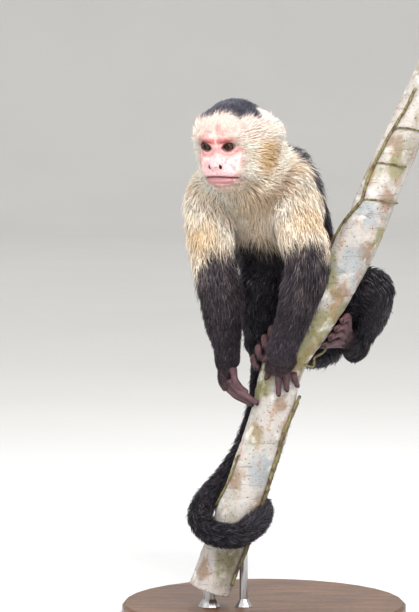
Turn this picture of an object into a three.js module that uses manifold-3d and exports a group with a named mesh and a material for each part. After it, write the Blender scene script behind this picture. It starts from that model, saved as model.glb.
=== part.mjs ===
// A white-faced capuchin monkey, life size, perched on a cut length of branch
// that two short rods hold above a flat round base.
// Millimetres, +Z up. The origin is the centre of the base's underside, and the
// animal looks towards -Y and a little towards -X.
import * as THREE from 'three';
import { mergeVertices } from 'three/addons/utils/BufferGeometryUtils.js';
import Module from 'manifold-3d';

const wasm = await Module();
wasm.setup();
const { Manifold, Mesh } = wasm;

// ---- Driving dimensions ----

// Clear distance between two neighbouring solids.
const GAP = 0.4;
// How far a facet may lie from the shape it stands for.
const FACET_ERROR = 0.19;
// Base of the stand.
const BASE_RADIUS = 150;
const BASE_HEIGHT = 12;
const BASE_BEVEL = 3;
// Rods of the stand: where each stands on the base, its radius, and how high it reaches.
const ROD_MAIN = { x: -58, y: -30, radius: 7, top: 40 };
const ROD_SIDE = { x: -22, y: -30, radius: 4.5, top: 92 };
const ROD_FOOT = 8;
// The head: its centre, and how far it is turned to -X and bowed.
const HEAD_CENTRE = new THREE.Vector3(-30, -50, 496);
const HEAD_YAW = THREE.MathUtils.degToRad(33.5);
const HEAD_PITCH = THREE.MathUtils.degToRad(10);
const EYE_RADIUS = 8.6;
const EYE_SPACING = 28;
const EYE_FORWARD = 36.5;
const EYE_UP = 4;
// How the trunk's left side points: the body is turned a quarter of a right angle to -X.
const BODY_LEFT = new THREE.Vector3(0.91, -0.42, 0).normalize();

// ---- Colours and finishes ----

const finish = (colour, roughness = 0.85, metalness = 0) => {
  return new THREE.MeshStandardMaterial({ color: colour, roughness, metalness });
};
const CREAM = 0xd9bfa2;
const WHITE = 0xe6dacb;
const BLACK = 0x1d1a1c;
const DARK_BROWN = 0x3d3436;
const SKIN_PINK = 0xd9a9a0;
const HAND_SKIN = 0x57474a;
const BARK = 0xc9c4b8;
const EYE_BROWN = 0x2a1a10;
const BASE_WOOD = 0x8a6b4c;
const STEEL = 0x9a9a98;

// ---- Solids ----

// A three.js geometry as a manifold solid.
function solid(geometry) {
  const bare = geometry.index ? geometry.toNonIndexed() : geometry.clone();
  for (const name of Object.keys(bare.attributes)) {
    if (name !== 'position') bare.deleteAttribute(name);
  }
  const merged = mergeVertices(bare, 1e-3);
  const triVerts = new Uint32Array(merged.index.array);
  const vertProperties = merged.attributes.position.array;
  return new Manifold(new Mesh({ numProp: 3, vertProperties, triVerts }));
}

// A manifold solid as a three.js geometry.
function geometryOf(made) {
  const mesh = made.getMesh();
  const geometry = new THREE.BufferGeometry();
  geometry.setAttribute('position', new THREE.BufferAttribute(mesh.vertProperties, 3));
  geometry.setIndex(new THREE.BufferAttribute(mesh.triVerts, 1));
  const flat = geometry.toNonIndexed();
  flat.computeVertexNormals();
  return flat;
}

// The largest of a solid's separate bodies.
function largestBody(made) {
  const bodies = made.decompose();
  return bodies.reduce((a, b) => (b.volume() > a.volume() ? b : a));
}

const root = new THREE.Group();
const placed = [];

// Adds a named mesh. make(grow) gives its solid with its skin moved out by grow. What
// is already placed keeps its shape, and the new piece is cut back to clear it by GAP.
function place(name, colour, make, roughness, metalness) {
  let made = make(0);
  const box = made.boundingBox();
  for (const other of placed) {
    const apart = [0, 1, 2].some((i) => {
      return other.box.min[i] > box.max[i] || other.box.max[i] < box.min[i];
    });
    if (!apart) made = made.subtract(other.grown);
  }
  made = largestBody(made).simplify(FACET_ERROR);
  const mesh = new THREE.Mesh(geometryOf(made), finish(colour, roughness, metalness));
  mesh.name = name;
  root.add(mesh);
  const grown = make(GAP);
  placed.push({ grown, box: grown.boundingBox() });
}

// ---- Chains of round sections ----

// Steps in which a direction across a chain is carried from one end to the other.
const CARRY_STEPS = 240;

// A smooth line through stations [x, y, z, half-width, half-depth]. The half-depth is
// the half-width again where a section is round. side is the way the half-width points,
// and a chain without one turns its sections no more than its line does.
class Chain {
  constructor(stations, side = null) {
    this.last = stations.length - 1;
    this.side = side;
    this.line = new THREE.CatmullRomCurve3(stations.map((s) => new THREE.Vector3(s[0], s[1], s[2])));
    this.line.curveType = 'catmullrom';
    this.sizes = new THREE.SplineCurve(stations.map((s) => new THREE.Vector2(s[3], s[4] ?? s[3])));
    this.normals = side ? [] : this.carriedNormals();
  }

  // A direction across the line, carried along it in small steps.
  carriedNormals() {
    const normals = [];
    let normal = new THREE.Vector3(0.91, -0.42, 0);
    for (let i = 0; i <= CARRY_STEPS; i += 1) {
      const along = this.line.getTangent(i / CARRY_STEPS);
      normal = normal.clone().addScaledVector(along, -normal.dot(along)).normalize();
      normals.push(normal);
    }
    return normals;
  }

  // Centre, axes and half-sizes at station number s, which need not be whole.
  section(s) {
    const t = THREE.MathUtils.clamp(s / this.last, 0, 1);
    const centre = this.line.getPoint(t);
    const along = this.line.getTangent(t);
    const side = this.side ?? this.normals[Math.round(t * CARRY_STEPS)];
    const across = side.clone().addScaledVector(along, -side.dot(along)).normalize();
    const depth = new THREE.Vector3().crossVectors(along, across);
    const size = this.sizes.getPoint(t);
    return { centre, along, across, depth, a: size.x, b: size.y };
  }
}

// Rings of a rounded end: how far each lies out along the axis, and its share of the size.
const domeRings = (...sines) => sines.map((sine) => [sine, Math.sqrt(1 - sine * sine)]);
const DOME = domeRings(0.45, 0.8, 0.96);
const SMALL_DOME = domeRings(0.6, 0.93);

// The solid between stations from and to of a chain. headDome and tailDome are how far
// a rounded end bulges out, and 0 leaves the end flat.
function loft(chain, from, to, shape) {
  const { rings, sides, headDome = 0, tailDome = 0, dome = DOME, grow } = shape;
  const rows = [];
  const end = (s, sign, bulge) => {
    const section = chain.section(s);
    const reach = sign * (bulge + grow);
    return dome.map(([out, share]) => ({ section, shift: reach * out, share }));
  };
  if (headDome) rows.push(...end(from, -1, headDome).reverse());
  for (let i = 0; i <= rings; i += 1) {
    const shift = i === 0 && !headDome ? -grow : i === rings && !tailDome ? grow : 0;
    rows.push({ section: chain.section(from + ((to - from) * i) / rings), shift, share: 1 });
  }
  if (tailDome) rows.push(...end(to, 1, tailDome));
  const geometry = new THREE.CylinderGeometry(1, 1, 1, sides, rows.length - 1);
  const position = geometry.attributes.position;
  const corner = new THREE.Vector3();
  for (let i = 0; i < position.count; i += 1) {
    corner.fromBufferAttribute(position, i);
    const row = rows[Math.round((0.5 - corner.y) * (rows.length - 1))];
    const { centre, along, across, depth, a, b } = row.section;
    const out = centre.clone().addScaledVector(along, row.shift);
    out.addScaledVector(across, corner.x * (a + grow) * row.share);
    out.addScaledVector(depth, corner.z * (b + grow) * row.share);
    position.setXYZ(i, out.x, out.y, out.z);
  }
  const made = solid(geometry);
  return made.volume() < 0 ? turned(geometry) : made;
}

// The same solid with each face turned round.
function turned(geometry) {
  const index = geometry.index.array;
  for (let i = 0; i < index.length; i += 3) [index[i + 1], index[i + 2]] = [index[i + 2], index[i + 1]];
  return solid(geometry);
}

// An ellipsoid with half-sizes along three axes of its own.
function ellipsoid(centre, axes, sizes, grow = 0, wide = 16, high = 10) {
  const geometry = new THREE.SphereGeometry(1, wide, high);
  const scaled = axes.map((axis, i) => axis.clone().multiplyScalar(sizes[i] + grow));
  geometry.applyMatrix4(new THREE.Matrix4().makeBasis(...scaled).setPosition(centre));
  const made = solid(geometry);
  return made.volume() < 0 ? turned(geometry) : made;
}

// ---- Stand ----

// A flat round disc with a bevelled top edge.
function base(grow) {
  const r = BASE_RADIUS + grow;
  const top = BASE_HEIGHT + grow;
  const profile = [[0, -grow], [r, -grow], [r, top - BASE_BEVEL], [r - BASE_BEVEL, top], [0, top]];
  const geometry = new THREE.LatheGeometry(profile.map((p) => new THREE.Vector2(...p)), 32);
  geometry.rotateX(Math.PI / 2);
  const made = solid(geometry);
  return made.volume() < 0 ? turned(geometry) : made;
}

// A rod with a wider foot that stands on the base.
function rod({ x, y, radius, top }) {
  return (grow) => {
    const foot = BASE_HEIGHT + GAP;
    const profile = [
      [0, foot - grow],
      [radius + 5 + grow, foot - grow],
      [radius + grow, foot + ROD_FOOT],
      [radius + grow, top + grow],
      [0, top + grow],
    ];
    const geometry = new THREE.LatheGeometry(profile.map((p) => new THREE.Vector2(...p)), 10);
    geometry.rotateX(Math.PI / 2).translate(x, y, 0);
    const made = solid(geometry);
    return made.volume() < 0 ? turned(geometry) : made;
  };
}

// ---- Perch ----

const perch = new Chain([
  [-58, -30, 30, 22.5],
  [-24, -30, 124, 22.5],
  [5, -30, 208, 22.5],
  [19, -30, 265, 22.5],
  [50, -30, 313, 22.5],
  [75, -28, 354, 22.5],
  [98, -24, 396, 22],
  [115, -20, 437, 21.5],
  [138, -15, 489, 21],
  [165, -10, 546, 20],
  [178, -8, 574, 20],
], new THREE.Vector3(1, 0, 0));

// The perch's station number at height z.
function perchStation(z) {
  let low = 0;
  let high = perch.last;
  for (let i = 0; i < 40; i += 1) {
    const middle = (low + high) / 2;
    if (perch.section(middle).centre.z < z) low = middle;
    else high = middle;
  }
  return low;
}

// A point on the perch's bark: the height of the axis there, the angle round it from the
// front (-Y) towards +X in degrees, and how far the point stands off the bark.
function onPerch(z, degrees, lift) {
  const { centre, across, along, a } = perch.section(perchStation(z));
  const front = new THREE.Vector3().crossVectors(across, along);
  if (front.y > 0) front.negate();
  const angle = THREE.MathUtils.degToRad(degrees);
  const out = centre.clone().addScaledVector(front, Math.cos(angle) * (a + lift));
  return out.addScaledVector(across, Math.sin(angle) * (a + lift)).toArray();
}

// ---- Head ----

const forward = new THREE.Vector3(
  -Math.sin(HEAD_YAW) * Math.cos(HEAD_PITCH),
  -Math.cos(HEAD_YAW) * Math.cos(HEAD_PITCH),
  -Math.sin(HEAD_PITCH),
);
const left = new THREE.Vector3(Math.cos(HEAD_YAW), -Math.sin(HEAD_YAW), 0);
const up = new THREE.Vector3().crossVectors(forward, left);

// A point of the head, from its centre: forward, left and up.
function headPoint(f, l, u) {
  return HEAD_CENTRE.clone().addScaledVector(forward, f).addScaledVector(left, l).addScaledVector(up, u);
}

// The lumps that the head's outline is made of: centre and half-sizes, forward, left, up.
const HEAD_LUMPS = [
  { name: 'skull', at: [0, 0, 8], size: [40, 38, 38] },
  { name: 'occiput', at: [-19, 0, -2], size: [34, 37, 36] },
  { name: 'face', at: [11, 0, -5], size: [22.5, 37, 33] },
  { name: 'brow', at: [28, 0, 13], size: [9, 25, 6.5] },
  { name: 'nose bridge', at: [33, 0, -4], size: [8, 5, 13] },
  { name: 'nose tip', at: [39, 0, -15], size: [7.5, 8, 5] },
  { name: 'lips', at: [25, 0, -24.5], size: [16.5, 20, 10] },
  { name: 'chin', at: [26, 0, -33.5], size: [12, 14, 8] },
  { name: 'cheek left', at: [5, 28.5, -16], size: [24, 23, 29] },
  { name: 'cheek right', at: [5, -28.5, -16], size: [24, 23, 29] },
  { name: 'temple left', at: [2, 29, 8], size: [24, 21, 25] },
  { name: 'temple right', at: [2, -29, 8], size: [24, 21, 25] },
  { name: 'ruff', at: [-14, 0, -22], size: [34, 42, 30] },
];
// How softly one lump runs into the next.
const HEAD_BLEND = 6;
// The point that the head's corners are measured out from, and how far its rings crowd
// together at the face.
const HEAD_CORE = { f: 0, u: -11 };
// The opening between the lids: where it is cut into the face, and its half-sizes.
const SOCKET = { f: 38, l: 14, u: EYE_UP, size: [7.5, 5.2, 7] };
const FACE_CROWDING = 0.58;

// Rough signed distance from a point of the head's frame to the head's surface.
function headField(f, l, u) {
  let field = Infinity;
  for (const { at, size } of HEAD_LUMPS) {
    const offset = [f - at[0], l - at[1], u - at[2]];
    const near = Math.hypot(...offset.map((v, i) => v / size[i]));
    const slope = Math.hypot(...offset.map((v, i) => v / size[i] ** 2)) + 1e-9;
    const distance = (near * (near - 1)) / slope;
    if (field === Infinity) {
      field = distance;
    } else {
      const mix = Math.max(HEAD_BLEND - Math.abs(field - distance), 0) / HEAD_BLEND;
      field = Math.min(field, distance) - (mix * mix * HEAD_BLEND) / 4;
    }
  }
  return field;
}

// The head: a sphere whose corners are pushed out to the field's surface. Rings are
// closer together at the face, which the sphere's pole points to.
function head(grow) {
  const geometry = new THREE.SphereGeometry(1, 21, 17);
  const position = geometry.attributes.position;
  for (let i = 0; i < position.count; i += 1) {
    const turn = Math.atan2(position.getZ(i), position.getX(i));
    const share = Math.acos(THREE.MathUtils.clamp(position.getY(i), -1, 1)) / Math.PI;
    const bend = Math.PI * share * (1 - FACE_CROWDING + FACE_CROWDING * share);
    const [f, l, u] = [Math.cos(bend), Math.sin(bend) * Math.cos(turn), Math.sin(bend) * Math.sin(turn)];
    let low = 10;
    let high = 90;
    for (let step = 0; step < 30; step += 1) {
      const middle = (low + high) / 2;
      if (headField(HEAD_CORE.f + f * middle, l * middle, HEAD_CORE.u + u * middle) < grow) low = middle;
      else high = middle;
    }
    const out = headPoint(HEAD_CORE.f + f * low, l * low, HEAD_CORE.u + u * low);
    position.setXYZ(i, out.x, out.y, out.z);
  }
  let made = solid(geometry);
  if (made.volume() < 0) made = turned(geometry);
  for (const side of [1, -1]) {
    const mouth = headPoint(SOCKET.f, side * SOCKET.l, SOCKET.u);
    made = made.subtract(ellipsoid(mouth, [left, up, forward], SOCKET.size, -grow, 10, 6));
  }
  return made;
}

// One eyeball; side is 1 for the left eye and -1 for the right.
function eyeball(side) {
  const centre = headPoint(EYE_FORWARD - EYE_RADIUS, (side * EYE_SPACING) / 2, EYE_UP);
  return (grow) => ellipsoid(centre, [left, up, forward], [EYE_RADIUS, EYE_RADIUS, EYE_RADIUS], grow, 11, 7);
}

// One ear, a cupped disc that stands out of the hair at the side of the head.
function ear(side) {
  const lean = left.clone().multiplyScalar(side).addScaledVector(forward, -0.6).normalize();
  const rise = up.clone().addScaledVector(lean, -up.dot(lean)).normalize();
  const thick = new THREE.Vector3().crossVectors(lean, rise);
  const centre = headPoint(-12, side * 40, 12);
  return (grow) => {
    const shell = ellipsoid(centre, [lean, rise, thick], [14, 16, 4], grow, 10, 7);
    const hollowAt = centre.clone().addScaledVector(lean, 4).addScaledVector(forward, 5);
    return shell.subtract(ellipsoid(hollowAt, [lean, rise, thick], [7, 10, 4], -grow, 8, 5));
  };
}

// ---- Trunk, neck, limbs and tail ----

const trunk = new Chain([
  [2, -14, 466, 40, 42],
  [9, 0, 441, 52, 52],
  [16, 15, 407, 55, 54],
  [28, 31, 374, 50, 52],
  [48, 52, 339, 43, 45],
  [54, 64, 304, 41, 42],
  [55, 68, 277, 34, 34],
], BODY_LEFT);
const neck = new Chain([
  [4, -6, 446, 42, 42],
  [-8, -26, 462, 40, 40],
  [-19, -40, 479, 33, 34],
], BODY_LEFT);
const armRight = new Chain([
  [-40, -4, 455, 23],
  [-58, -10, 438, 27],
  [-57, -26, 401, 25.5],
  [-52, -38, 363, 23.5],
  [-45, -40, 336, 24],
  [-43, -36, 308, 20],
  [-40, -30, 287, 15],
  [-39, -26, 270, 11.5],
]);
const armLeft = new Chain([
  [21, -16, 462, 24],
  [28, -37, 442, 26],
  [36, -60, 406, 26],
  [43, -76, 370, 24],
  [35, -80, 342, 21.5],
  [27, -77, 314, 18.5],
  [19, -73, 292, 16.5],
  [15, -69, 281, 14],
]);
const thighRight = new Chain([[36, 74, 300, 34], [14, 34, 329, 30], [-2, -4, 356, 24]]);
const shinRight = new Chain([[-5, -8, 350, 21], [-8, 12, 320, 20], [-8, 34, 296, 15], [-6, 46, 282, 12]]);
const thighLeft = new Chain([[72, 58, 302, 35], [92, 18, 330, 29], [113, -20, 349, 20]]);
const shinLeft = new Chain([[118, -22, 343, 18.5], [115, 4, 318, 18], [103, 28, 290, 14], [97, 37, 279, 12]]);
const tail = new Chain([
  [47, 86, 278, 22],
  [24, 76, 274, 18],
  [4, 56, 264, 16],
  [-1, 34, 246, 15],
  [-3, 18, 224, 14.5],
  [-10, 6, 200, 14.5],
  [-18, 4, 178, 14.5],
  [-29, 2, 159, 14.5],
  [-42, -6, 142, 14.5],
  [-58, -20, 126, 14.5],
  [-68, -36, 110, 14.5],
  [-60, -54, 97, 14.5],
  [-45, -65, 92, 14.5],
  [-26, -64, 93, 14.5],
  [-10, -50, 102, 14.5],
  [-4, -28, 112, 14.5],
  [-10, -4, 121, 14],
  [-5, 7, 138, 13.5],
  [3, 6, 162, 13],
  [11, 4, 185, 12],
  [18, 2, 207, 10.5],
  [23, 0, 228, 7],
]);

// ---- Hands and feet ----

const wristRight = [-39, -26, 270, 11.5];
const wristLeft = [15, -69, 281, 14];
const palmRight = new Chain([
  wristRight,
  [-40, -25, 259, 12, 9],
  [-40, -23, 249, 12, 7.5],
  [-38, -22, 243, 10.5, 6],
], new THREE.Vector3(0.5, 0.86, 0));
const palmLeft = new Chain([
  wristLeft,
  [...onPerch(272, -9, 11), 14.5, 10],
  [...onPerch(264, -12, 8), 14, 7.5],
  [...onPerch(258, -12, 6.5), 12.5, 6],
], new THREE.Vector3(0.95, 0, -0.3));
const footRight = new Chain([
  [-6, 46, 282, 12, 11],
  [-4, 36, 279, 12.5, 9],
  [4, 20, 281, 12.5, 7.5],
  [9, 8, 284, 11.5, 6.5],
], new THREE.Vector3(0, 0, 1));
const footLeft = new Chain([
  [97, 37, 279, 12, 11],
  [96, 28, 279, 12.5, 9],
  [90, 8, 287, 12.5, 7.5],
  [83, -6, 294, 11.5, 6.5],
], new THREE.Vector3(0.3, 0, 1));

// Half-widths of a digit at its root, middle and tip, and how far its tip bulges.
const FINGER = [4.2, 3.7, 3.1];
const TOE = [4.6, 4.1, 3.4];
const TIP_DOME = 2.5;

// The right hand hangs beside the perch, and its fingers reach over to the bark.
const FINGERS_RIGHT = {
  thumb: [[-33, -34, 262], [-31, -39, 251], [-26, -40, 244], [-20, -40, 239]],
  index: [[-36, -33, 250], [-27, -38, 240], [-18, -41, 234], [-9, -45, 228]],
  middle: [[-39, -27, 246], [-30, -30, 236], [-21, -33, 231], [-14, -35, 226]],
  ring: [[-41, -21, 245], [-33, -20, 235], [-24, -20, 229], [-16, -20, 225]],
  little: [[-43, -15, 247], [-36, -12, 237], [-27, -10, 232], [-16, -8, 229]],
};
// The left hand lies on the front of the perch: height, angle and distance off the bark.
const FINGERS_LEFT = {
  thumb: [[274, -26, 8], [269, -42, 5], [264, -54, 3.6]],
  index: [[265, -27, 6.5], [259, -29, 4.8], [252, -31, 3.4]],
  middle: [[262, -9, 6.5], [251, -2, 4.8], [239, 4, 3.4]],
  ring: [[262, 8, 6.5], [253, 15, 4.8], [245, 21, 3.4]],
  little: [[263, 24, 6], [256, 36, 4.6], [251, 48, 3.4]],
};
// The toes hook round the perch from behind, four over it and the great toe under it.
const TOES_LEFT = {
  hallux: [[302, 118, 9], [297, 138, 5.5], [293, 158, 4]],
  second: [[307, 104, 10], [304, 88, 5.2], [301, 70, 3.8]],
  third: [[315, 106, 10], [312, 88, 5.2], [309, 70, 3.8]],
  fourth: [[323, 108, 10], [320, 90, 5.2], [317, 74, 3.8]],
  fifth: [[331, 112, 10], [328, 96, 5.2], [326, 82, 3.8]],
};
const TOES_RIGHT = {
  hallux: [[270, -136, 9], [266, -152, 5.5], [262, -170, 4]],
  second: [[262, -112, 10], [258, -94, 5.2], [256, -76, 3.8]],
  third: [[270, -112, 10], [266, -94, 5.2], [264, -76, 3.8]],
  fourth: [[278, -114, 10], [275, -96, 5.2], [273, -80, 3.8]],
  fifth: [[286, -118, 10], [284, -102, 5.2], [282, -88, 3.8]],
};

// One digit through the given points, from inside the hand or foot to its tip.
function digit(points, sizes) {
  const last = points.length - 1;
  const stations = points.map((point, i) => {
    const share = (i / last) * (sizes.length - 1);
    const low = Math.min(Math.floor(share), sizes.length - 2);
    return [...point, THREE.MathUtils.lerp(sizes[low], sizes[low + 1], share - low)];
  });
  const chain = new Chain(stations);
  return (grow) => loft(chain, 0, last, { rings: 3, sides: 6, tailDome: TIP_DOME, dome: SMALL_DOME, grow });
}

// ---- Build ----

place('stand_base', BASE_WOOD, base, 0.5);
place('perch', BARK, (grow) => loft(perch, 0, perch.last, { rings: 18, sides: 12, grow }));
place('stand_rod_main', STEEL, rod(ROD_MAIN), 0.35, 1);
place('stand_rod_side', STEEL, rod(ROD_SIDE), 0.35, 1);

for (const [word, side] of [['left', 1], ['right', -1]]) {
  place('eye_' + word, EYE_BROWN, eyeball(side), 0.1);
}
place('chest', CREAM, (grow) => loft(trunk, 0.4, 3, { rings: 5, sides: 16, headDome: 18, grow }));
place('neck', WHITE, (grow) => loft(neck, 0, 2, { rings: 3, sides: 14, grow }));
place('head', WHITE, head);
for (const [word, side] of [['left', 1], ['right', -1]]) {
  place('ear_' + word, SKIN_PINK, ear(side));
}
place('abdomen', BLACK, (grow) => loft(trunk, 3, 4.5, { rings: 3, sides: 16, grow }));
place('pelvis', BLACK, (grow) => loft(trunk, 4.5, 6, { rings: 3, sides: 16, tailDome: 24, grow }));

place('upper_arm_right', CREAM, (grow) => loft(armRight, 0, 3, { rings: 5, sides: 12, headDome: 12, grow }));
place('forearm_right', DARK_BROWN, (grow) => loft(armRight, 3, 7, { rings: 6, sides: 12, grow }));
place('upper_arm_left', CREAM, (grow) => loft(armLeft, 0, 3, { rings: 5, sides: 12, headDome: 12, grow }));
place('forearm_left', DARK_BROWN, (grow) => loft(armLeft, 3, 7, { rings: 6, sides: 12, grow }));

place('thigh_right', BLACK, (grow) => loft(thighRight, 0, 2, { rings: 4, sides: 12, tailDome: 20, grow }));
place('shin_right', BLACK, (grow) => loft(shinRight, 0, 3, { rings: 4, sides: 12, headDome: 14, grow }));
place('thigh_left', BLACK, (grow) => loft(thighLeft, 0, 2, { rings: 4, sides: 12, tailDome: 18, grow }));
place('shin_left', BLACK, (grow) => loft(shinLeft, 0, 3, { rings: 4, sides: 12, headDome: 14, grow }));

const PALMS = { hand_right: palmRight, hand_left: palmLeft, foot_right: footRight, foot_left: footLeft };
const PALM_SHAPE = { rings: 3, sides: 10, tailDome: 3, dome: SMALL_DOME };
for (const [name, chain] of Object.entries(PALMS)) {
  place(name, HAND_SKIN, (grow) => loft(chain, 0, chain.last, { ...PALM_SHAPE, grow }));
}
for (const [name, points] of Object.entries(FINGERS_RIGHT)) {
  place(name + '_right', HAND_SKIN, digit(points, FINGER));
}
for (const [name, points] of Object.entries(FINGERS_LEFT)) {
  place(name + '_left', HAND_SKIN, digit(points.map((p) => onPerch(...p)), FINGER));
}
for (const [name, points] of Object.entries(TOES_RIGHT)) {
  place('toe_' + name + '_right', HAND_SKIN, digit(points.map((p) => onPerch(...p)), TOE));
}
for (const [name, points] of Object.entries(TOES_LEFT)) {
  place('toe_' + name + '_left', HAND_SKIN, digit(points.map((p) => onPerch(...p)), TOE));
}

// The tail's lengths, as stations of its chain.
const TAIL_CUTS = [0, 4, 8, 11, 14, 17, 21];
for (let i = 0; i < TAIL_CUTS.length - 1; i += 1) {
  const [from, to] = [TAIL_CUTS[i], TAIL_CUTS[i + 1]];
  const shape = { rings: Math.ceil((to - from) * 1.3), sides: 8, tailDome: to === tail.last ? 7 : 0 };
  place('tail_' + (i + 1), BLACK, (grow) => loft(tail, from, to, { ...shape, grow }));
}

export default root;
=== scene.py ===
# A white-faced capuchin gripping a cut length of branch, on a plain display stand.
#
# Shapes are worked out in millimetres in the frame of the CAD model: X to the right of
# the picture, Y away from the camera, Z up. mesh_of turns them into metres.
#
# One skin is meshed from a distance field along the animal's skeleton. Each point of
# the skin then knows its markings and the lie, length and depth of its coat, and solid
# tufts grow from it, so the skin and the coat carry the same markings.
import math

import bmesh
import bpy
import numpy as np
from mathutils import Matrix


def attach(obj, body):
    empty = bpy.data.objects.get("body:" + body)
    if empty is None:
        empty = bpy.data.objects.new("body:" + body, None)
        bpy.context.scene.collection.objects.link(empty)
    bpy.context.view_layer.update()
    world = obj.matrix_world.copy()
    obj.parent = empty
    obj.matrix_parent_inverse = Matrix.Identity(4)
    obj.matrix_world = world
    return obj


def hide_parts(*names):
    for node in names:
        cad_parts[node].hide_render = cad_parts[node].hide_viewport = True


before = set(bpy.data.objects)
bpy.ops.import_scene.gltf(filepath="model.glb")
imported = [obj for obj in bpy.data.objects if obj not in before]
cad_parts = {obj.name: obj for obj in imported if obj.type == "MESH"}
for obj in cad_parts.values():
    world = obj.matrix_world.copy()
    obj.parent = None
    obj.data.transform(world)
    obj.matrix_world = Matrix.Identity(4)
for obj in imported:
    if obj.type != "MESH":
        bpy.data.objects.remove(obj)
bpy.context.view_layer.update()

import openvdb
from mathutils import Vector

MM = 0.001
SEED = 20
# Edge of the grid's cells that the skin is meshed from.
CELL = 1.4
# Share of the full number of tufts.
COAT_SHARE = 1.0


# ---- Numbers ----

def unit(vectors):
    return vectors / (np.linalg.norm(vectors, axis=-1, keepdims=True) + 1e-12)


def dot(a, b):
    return np.sum(a * b, axis=-1)


def ramp(low, high, x):
    """0 below low, 1 above high, and smooth between."""
    t = np.clip((x - low) / (high - low), 0, 1)
    return t * t * (3 - 2 * t)


def mix(a, b, t):
    """a where t is 0, b where it is 1; a and b may be colours."""
    t = np.asarray(t)
    if t.ndim and (3,) in (np.shape(a)[-1:], np.shape(b)[-1:]):
        t = t[..., None]
    return a * (1 - t) + b * t


def join(a, b, soft):
    """Union of two distances, rounded over a stretch of about soft."""
    near = np.maximum(soft - np.abs(a - b), 0) / soft
    return np.minimum(a, b) - near * near * soft / 4


def cut(a, b, soft):
    """Distance a with the inside of b taken away."""
    return -join(-a, b, soft)


def colour(red, green, blue):
    """Linear colour of a display colour from 0 to 255."""
    c = np.array((red, green, blue)) / 255
    return np.where(c <= 0.04045, c / 12.92, ((c + 0.055) / 1.055) ** 2.4)


LATTICE_SIZE = 32
LATTICE = np.random.default_rng(SEED).uniform(-1, 1, (LATTICE_SIZE,) * 3).astype(np.float32)


def noise(points, size, offset=0.0):
    """Smooth noise from -1 to 1 with lumps about size across."""
    q = np.asarray(points) / size + offset
    low = np.floor(q).astype(np.int64)
    t = q - low
    t = t * t * (3 - 2 * t)
    low %= LATTICE_SIZE
    high = (low + 1) % LATTICE_SIZE
    total = 0
    for i in (0, 1):
        x = (high if i else low)[..., 0]
        wx = t[..., 0] if i else 1 - t[..., 0]
        for j in (0, 1):
            y = (high if j else low)[..., 1]
            wy = t[..., 1] if j else 1 - t[..., 1]
            for k in (0, 1):
                z = (high if k else low)[..., 2]
                wz = t[..., 2] if k else 1 - t[..., 2]
                total = total + LATTICE[x, y, z] * wx * wy * wz
    return total


# ---- Chains of round sections ----

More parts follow.
